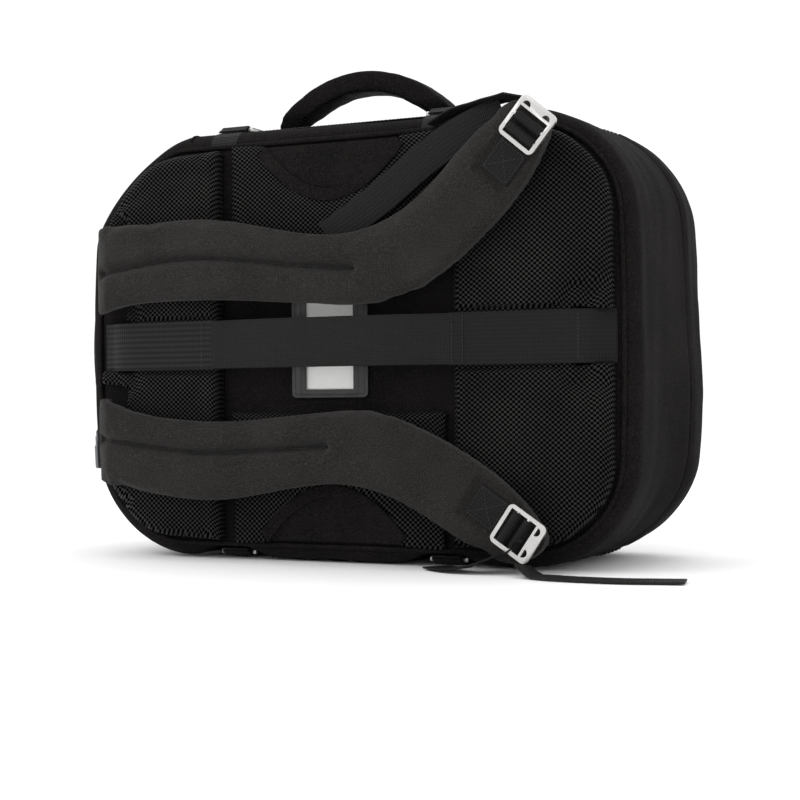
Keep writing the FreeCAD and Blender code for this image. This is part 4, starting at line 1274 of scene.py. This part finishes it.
class CardHolder(bpy.types.Operator):
    """Vinyl frame with a window over a blank card"""

    bl_idname = "travelpack.card_holder"
    bl_label = "Card holder"

    def execute(self, context):
        softened("card_holder_frame", 0.7, ["vinyl"], 3)
        dress("card", "card")
        dress("card_window", "clear")
        low, high = box_mm("card_holder_frame")
        inner, inner_high = box_mm("card_window")
        outer_line = box_stitch(low, high, DOWN_FACE, 3.2)
        inner_line = box_stitch(Vector((inner.x - 1, low.y, inner.z - 1)),
                                Vector((inner_high.x + 1, high.y, inner_high.z + 1)),
                                DOWN_FACE, 0.0)
        stitches("card_holder_stitches", [outer_line, inner_line], "pack", DOWN_FACE, 2.8,
                 wide=0.6)
        return {"FINISHED"}


class RearShell(bpy.types.Operator):
    """The rear half: back panel, rounded rim, slack side walls, piping, welts and lining"""

    bl_idname = "travelpack.rear_shell"
    bl_label = "Rear shell"

    def execute(self, context):
        rings = loosen(wall_rings(), WALL_SLACK, 6, 3)
        walls = ("top_end_panel", "bottom_end_panel", "carry_side_panel", "rest_side_panel")
        lined_sheet("rear_shell_cloth", rings, size("wall"), "pack", walls, close=False)
        back = SIDE_LOW.y
        edge = outline(size("seam_inset") - 0.5, back)
        rings = narrowing(edge, (1.0, 0.97, 0.9, 0.8, 0.68, 0.55, 0.42, 0.3, 0.18, 0.08), back,
                          lambda p: 0.5 + 0.5 * noise.noise(p * 0.02))
        lined_sheet("back_panel_cloth", rings, 3.2, "pack", ["back_panel"],
                    direction=DOWN_FACE)
        self.seams(back, size("back_rim"))
        return {"FINISHED"}

    def seams(self, back, rim):
        piping = outline(size("seam_inset") - 1.5, back - 0.6)
        cord_piece("back_panel_piping", [piping], 1.9, "cloth", "pack", True)
        welts, points = [], 24
        for x in (SIDE_LOW.x, SIDE_HIGH.x):
            line = []
            for i in range(points):
                y = back + 2 + (SIDE_HIGH.y - back - 4) * i / (points - 1)
                across = max(0.0, (back + rim - y) / rim)
                drop = rim * (1 - math.sqrt(1 - across * across))
                point = Vector((x, y, size("body_width") - drop))
                line.append(point + UP * (max(slack(point, WALL_SLACK), -2.0) * 0.6 + 0.2))
            welts.append(line)
        cord_piece("side_welts", welts, 1.1, "cloth", "pack")


class WaistPatches(bpy.types.Operator):
    """Lens-shaped cloth patches that dip into the mesh, with a binding band on their arcs"""

    bl_idname = "travelpack.waist_patches"
    bl_label = "Waist patches"

    def execute(self, context):
        low, high = box_mm("waist_patches")
        middle_x, half = (low.x + high.x) / 2, (high.x - low.x) / 2
        face = low.y - 1.2
        patches = bmesh.new()
        bands = []
        for upper in (True, False):
            edge_z = high.z if upper else low.z
            sign = -1 if upper else 1
            rise = 38.0
            steps = 26
            rows = []
            for level in range(8):
                share = level / 7
                row = []
                for i in range(steps + 1):
                    t = -1 + 2 * i / steps
                    arch = rise * (1 - t * t)
                    y = face + 2.2 * (1 - share) + 0.7 * noise.noise(Vector((t * 2, share, 0)))
                    row.append(Vector((middle_x + half * t, y, edge_z + sign * arch * share)))
                rows.append(row)
            loft(patches, rows, closed_rings=False, cap=False)
            bands.append([p + Vector((0, -0.9, sign * 3.5)) for p in rows[-1]])
        bmesh.ops.recalc_face_normals(patches, faces=patches.faces)
        for part in [f for f in patches.faces if f.normal.y > 0]:
            part.normal_flip()
        obj = make_object("waist_patches_cloth", patches, ["cloth"], "pack")
        thicken(obj, 2.0)
        subdivide(obj)
        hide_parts("waist_patches")
        for path, name in zip(bands, ("upper", "lower")):
            line = curve_through(path, 5.0)
            ribbon(f"waist_band_{name}", line, [side_of(line, i) for i in range(len(line))],
                   10.0, 1.6, "cloth", "pack")
        return {"FINISHED"}


def side_of(line, i):
    """Across a band that lies flat on the back panel."""
    return directions(line)[i].cross(DOWN_FACE).normalized()


class Zippers(bpy.types.Operator):
    """Coil zippers on their tapes, with plated sliders and rubber pulls"""

    bl_idname = "travelpack.zippers"
    bl_label = "Zippers"

    def execute(self, context):
        self.run("main_zip", -0.2, 6.4, -5)
        self.run("laptop_zip", -0.4, 9.0, box_mm("laptop_zip_chain")[0].z + 1)
        self.pocket_zip()
        for name in ("laptop", "main_a", "main_b", "pocket"):
            softened(name + "_slider", 0.5, ["slider"], 2)
            softened(name + "_pull", 0.8, ["rubber"], 3)
        return {"FINISHED"}

    def run(self, name, inset, tape, lowest):
        """A tape and its coil along part of the outline."""
        low, high = box_mm(name + "_chain")
        ring = even(outline(inset, (low.y + high.y) / 2), size("coil_pitch"), True)
        ring = [p for p in ring if p.x < high.x - 1 and p.z > lowest]
        for point in ring:
            point.z = max(point.z, 2.2)
        path = from_gap(ring)
        ribbon(name + "_tape", coarse(path), INTO_PACK, tape, 0.9, "web_long", "pack",
               node=name + "_chain")
        outs = [outward(p) for p in path]
        coil(name + "_coil", [p + out * 0.5 for p, out in zip(path, outs)], outs, INTO_PACK,
             "pack")

    def pocket_zip(self):
        low, high = box_mm("pocket_zip_chain")
        x, y = (low.x + high.x) / 2, low.y + 0.6
        path = even([Vector((x, y, low.z + 1)), Vector((x, y, high.z - 1))],
                    size("coil_pitch"))
        ribbon("pocket_zip_tape", coarse(path), LENGTHWAYS, high.x - low.x, 1.0, "web_long",
               "cover", node="pocket_zip_chain")
        coil("pocket_zip_coil", [p + INTO_PACK * 0.7 for p in path], [INTO_PACK] * len(path),
             LENGTHWAYS, "cover")


def from_gap(ring):
    """An open part of a ring, begun after its widest gap."""
    first = max(range(len(ring)), key=lambda i: (ring[i] - ring[i - 1]).length)
    return ring[first:] + ring[:first]


def coarse(path):
    """Every sixth point of a path, and its end."""
    return path[::6] + [path[-1]]


class LashStraps(bpy.types.Operator):
    """Short webbing tabs with satin metal buckles on both long sides"""

    bl_idname = "travelpack.lash_straps"
    bl_label = "Lash straps"

    def execute(self, context):
        wide, thick = size("webbing"), size("web_thickness")
        webs, loops = [], []
        for side in ("carry", "rest"):
            for number in (1, 2):
                node = f"lash_buckle_{side}_{number}"
                softened(node, 0.8, ["metal"], 3)
                low, high = box_mm(node)
                x, bar_z = (low.x + high.x) / 2, (low.z + high.z) / 2
                near, far = low.y + 1.8, high.y - 1.8
                out = Vector((0, 0, 1 if side == "carry" else -1))
                bar = Vector((x, near, bar_z))
                face = out * -WRAP_RADIUS
                path = [bar + face + INTO_PACK * -9, bar + face + INTO_PACK * -5]
                if side == "carry":
                    path = [bar + Vector((0, -20.6, -18)), bar + Vector((0, -19.6, -13)),
                            bar + Vector((0, -16.2, -7.6)),
                            bar + Vector((0, -11, -4.2))] + path[1:]
                path += arc(bar, WRAP_RADIUS, -90, 150, INTO_PACK, out, 10)
                path += [bar + out * -1.2 + INTO_PACK * -7]
                webs.append(ribbon(f"lash_web_{side}_{number}", path, LENGTHWAYS, wide, thick,
                                   "web_cross", "pack"))
                bar = Vector((x, far, bar_z))
                path = [bar + face + INTO_PACK * 6.5, bar + face + INTO_PACK * 2.5]
                path += arc(bar, WRAP_RADIUS, -90, -200, INTO_PACK, out, 8)
                loops.append(ribbon(f"lash_loop_{side}_{number}", path, LENGTHWAYS, wide, thick,
                                    "web_cross", "pack"))
        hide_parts("lash_webs")
        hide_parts("lash_loops")
        return {"FINISHED"}


class Cover(bpy.types.Operator):
    """The front cover: rounded tray of cloth with its pocket, seams and lining"""

    bl_idname = "travelpack.cover"
    bl_label = "Front cover"

    def execute(self, context):
        edge_y = box_mm("cover_carry_wall")[0].y
        front, rim = box_mm("cover_front_panel")[1].y, size("front_rim")
        pairs = [(0.0, edge_y + (front - rim - edge_y) * i / 6) for i in range(7)]
        for i in range(1, 8):
            turn = math.radians(90 * i / 7)
            pairs.append((rim * (1 - math.cos(turn)), front - rim + rim * math.sin(turn)))
        rings = loosen([outline(inset, y) for inset, y in pairs], 2.2, 3, 6)
        rings += narrowing(outline(rim, front), (0.9, 0.78, 0.64, 0.5, 0.36, 0.22, 0.1), front,
                           lambda p: slack(p, 0.9) - 0.5)
        nodes = ("cover_front_panel", "cover_top_wall", "cover_bottom_wall",
                 "cover_carry_wall", "cover_rest_wall")
        lined_sheet("cover_cloth", rings, 4.0, "cover", nodes, depth_mm=edge_y)
        seam = outline(rim * 0.62, front - rim + rim * 0.93)
        cord_piece("cover_piping", [seam], 1.6, "cloth", "cover", True)
        self.pocket(front)
        self.inner_pocket()
        return {"FINISHED"}

    def pocket(self, front):
        low, high = box_mm("front_pocket")
        middle = (low + high) / 2
        half_x, half_z = (high.x - low.x) / 2, (high.z - low.z) / 2
        deep = high.y - front
        corner, rings = 45.0, []
        for inset, rise in ((0, -1.0), (0.3, 0.2), (1.5, 0.45), (5, 0.72), (11, 0.86)):
            y = front + (rise if rise < 0 else rise * deep)
            rings.append(rounded_ring(middle.x, middle.z, half_x - inset, half_z - inset,
                                      [corner - inset] * 2, y))
        base = rings[-1]
        for share in (0.88, 0.7, 0.5, 0.3, 0.12):
            y = front + deep * (0.86 + 0.12 * (1 - share))
            ring = shrunk(base, share, y, middle.x, middle.z)
            rings.append([p + INTO_PACK * slack(q, 0.8) for p, q in zip(ring, base)])
        lined_sheet("front_pocket_cloth", rings, 2.4, "cover", ["front_pocket"],
                    direction=INTO_PACK)
        seam = rounded_ring(middle.x, middle.z, half_x + 0.6, half_z + 0.6, [corner] * 2,
                            front + 0.4)
        cord_piece("front_pocket_welt", [seam], 1.3, "cloth", "cover", True)
        line = rounded_ring(middle.x, middle.z, half_x - 6, half_z - 6, [corner - 6] * 2,
                            front + deep * 0.8)
        stitches("front_pocket_stitches", [line], "cover", INTO_PACK, closed=True)

    def inner_pocket(self):
        low, high = box_mm("inner_mesh_pocket")
        seam, face = high.y + 0.5, low.y + 0.5
        inset = 34.0
        rings = [outline(inset, seam), outline(inset + 1, (seam + face) / 2),
                 outline(inset + 5, face + 0.8)]
        rings += narrowing(outline(inset + 5, face), (0.92, 0.8, 0.66, 0.5, 0.34, 0.18, 0.08),
                           face, lambda p: slack(p, 1.2) - 0.5)
        bm = bmesh.new()
        rows = loft(bm, rings, cap=False)
        bm.faces.new(rows[-1])
        cut_off(bm, low.x)
        turn_faces(bm, DOWN_FACE)
        pocket = make_object("inner_pocket_net", bm, ["lining_mesh"], "cover")
        thicken(pocket, 1.0)
        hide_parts("inner_mesh_pocket")
        path = curve_through([(low.x, face + 0.5, 40), (low.x - 1, face - 1.2, 110),
                              (low.x + 1, face - 0.6, 240), (low.x, face + 0.5, 310)], 6.0)
        ribbon("inner_pocket_binding", path, LENGTHWAYS, 9.0, 1.6, "web_long", "cover")


class Inside(bpy.types.Operator):
    """The laptop sleeve's padded wall, the stiffening sheet and the cover's fabric hinge"""

    bl_idname = "travelpack.inside"
    bl_label = "Inside"

    def execute(self, context):
        low, high = box_mm("laptop_divider")
        rings = []
        base = outline(8.0, low.y)
        for share, y in ((0.9, low.y + 0.6), (0.97, low.y + 0.3), (0.995, low.y + 1.2),
                         (1.0, (low.y + high.y) / 2), (0.995, high.y - 1.2),
                         (0.97, high.y - 0.3), (0.9, high.y - 0.2), (0.75, high.y + 0.2),
                         (0.55, high.y + 0.5), (0.3, high.y + 0.6), (0.1, high.y + 0.6)):
            rings.append(shrunk(base, share, y))
        bm = bmesh.new()
        loft(bm, rings)
        cut_off(bm, low.x)
        edges = [e for e in bm.edges if e.is_boundary]
        bmesh.ops.holes_fill(bm, edges=edges, sides=0)
        bmesh.ops.recalc_face_normals(bm, faces=bm.faces)
        wall = make_object("laptop_divider_padded", bm, ["lining"], "pack", 60)
        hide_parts("laptop_divider")
        y = (low.y + high.y) / 2
        path = [Vector((low.x, y, 34 + 282 * i / 40)) for i in range(41)]
        ribbon("laptop_divider_binding", path, INTO_PACK, high.y - low.y + 1.5, 2.2,
               "web_long", "pack")
        dress("frame_sheet", "plastic")
        self.hinge()
        return {"FINISHED"}

    def hinge(self):
        low, high = box_mm("hinge_fabric")
        rows = []
        for i in range(19):
            y = low.y - 17 + (high.y - low.y + 36) * i / 18
            proud = (-0.9, -0.3, 0.1, 0.5)[min(i, 18 - i, 3)]
            ring = [p for p in outline(0.0, y, (60, 40), 24, 0.0) if p.x > low.x + 1]
            row = []
            for point in from_gap(ring):
                shift = slack(point, 2.35)
                if point.z < RESTING_Z:
                    shift = min(shift, 0.0)
                spot = point + outward(point) * (proud + shift)
                spot.z = max(spot.z, 1.8)
                row.append(spot)
            rows.append(row)
        bm = bmesh.new()
        loft(bm, rows, closed_rings=False, cap=False)
        turn_faces(bm)
        bmesh.ops.solidify(bm, geom=bm.faces[:], thickness=1.2 * MM)
        fabric = make_object("hinge_fabric_cloth", bm, ["cloth"], None)
        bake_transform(fabric)
        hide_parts("hinge_fabric")


class Stage(bpy.types.Operator):
    """Pale floor, soft lamps and the camera"""

    bl_idname = "travelpack.stage"
    bl_label = "Stage"

    def execute(self, context):
        bm = bmesh.new()
        bmesh.ops.create_grid(bm, x_segments=4, y_segments=4, size=FLOOR_SIZE)
        bmesh.ops.translate(bm, verts=bm.verts, vec=UP * -FLOOR_DROP)
        floor = make_object("studio_floor", bm, ["floor"])
        world = bpy.data.worlds.new("studio")
        world.use_nodes = True
        back = world.node_tree.nodes["Background"]
        back.inputs["Color"].default_value = (1.0, 1.0, 1.0, 1.0)
        back.inputs["Strength"].default_value = SKY
        bpy.context.scene.world = world
        bpy.context.scene.view_settings.view_transform = "Standard"
        for name, place, width, watts in LAMPS:
            data = bpy.data.lights.new(name, "AREA")
            data.shape = "SQUARE"
            data.size = width
            data.energy = watts
            lamp = bpy.data.objects.new(name, data)
            bpy.context.scene.collection.objects.link(lamp)
            lamp.location = place
            lamp.rotation_euler = (LIT_POINT - Vector(place)).to_track_quat(
                "-Z", "Y").to_euler()
        self.camera()
        return {"FINISHED"}

    def camera(self):
        data = bpy.data.cameras.new("camera")
        data.sensor_width, data.lens = SENSOR, LENS
        data.clip_start, data.clip_end = 0.05, 60.0
        camera = bpy.data.objects.new("camera", data)
        bpy.context.scene.collection.objects.link(camera)
        camera.matrix_world = (Matrix.Translation(CAMERA_PLACE)
                               @ Matrix.Rotation(CAMERA_TURN, 4, "Z")
                               @ Matrix.Rotation(math.radians(90), 4, "X")
                               @ Matrix.Rotation(-CAMERA_ROLL, 4, "Z"))
        bpy.context.scene.camera = camera


STEPS = (BackPads, ShoulderStraps, Handles, StrapEnds, TrolleyStrap, CardHolder, RearShell,
         WaistPatches, Zippers, LashStraps, Cover, Inside, Stage)
GROUPS = (PackSizes, PackPadding, PackColours)


class PackPanel(bpy.types.Panel):
    """Lists the sizes, the colours and the steps of the build"""

    bl_idname = "VIEW3D_PT_travel_pack"
    bl_label = "Travel pack"
    bl_space_type = "VIEW_3D"
    bl_region_type = "UI"
    bl_category = "Travel pack"

    def draw(self, context):
        scene = context.scene
        for group in (scene.pack_sizes, scene.pack_padding, scene.pack_colours):
            column = self.layout.column(align=True)
            for name in group.__annotations__:
                column.prop(group, name)
        for step in STEPS:
            self.layout.operator(step.bl_idname)


def register():
    for item in GROUPS + STEPS + (PackPanel,):
        bpy.utils.register_class(item)
    scene = bpy.types.Scene
    scene.pack_sizes = bpy.props.PointerProperty(type=PackSizes)
    scene.pack_padding = bpy.props.PointerProperty(type=PackPadding)
    scene.pack_colours = bpy.props.PointerProperty(type=PackColours)


def unregister():
    for name in ("pack_sizes", "pack_padding", "pack_colours"):
        delattr(bpy.types.Scene, name)
    for item in reversed(GROUPS + STEPS + (PackPanel,)):
        bpy.utils.unregister_class(item)


def main():
    register()
    make_materials()
    for step in STEPS:
        name = step.bl_idname.split(".")[1]
        getattr(bpy.ops.travelpack, name)()


if __name__ == "__main__":
    main()
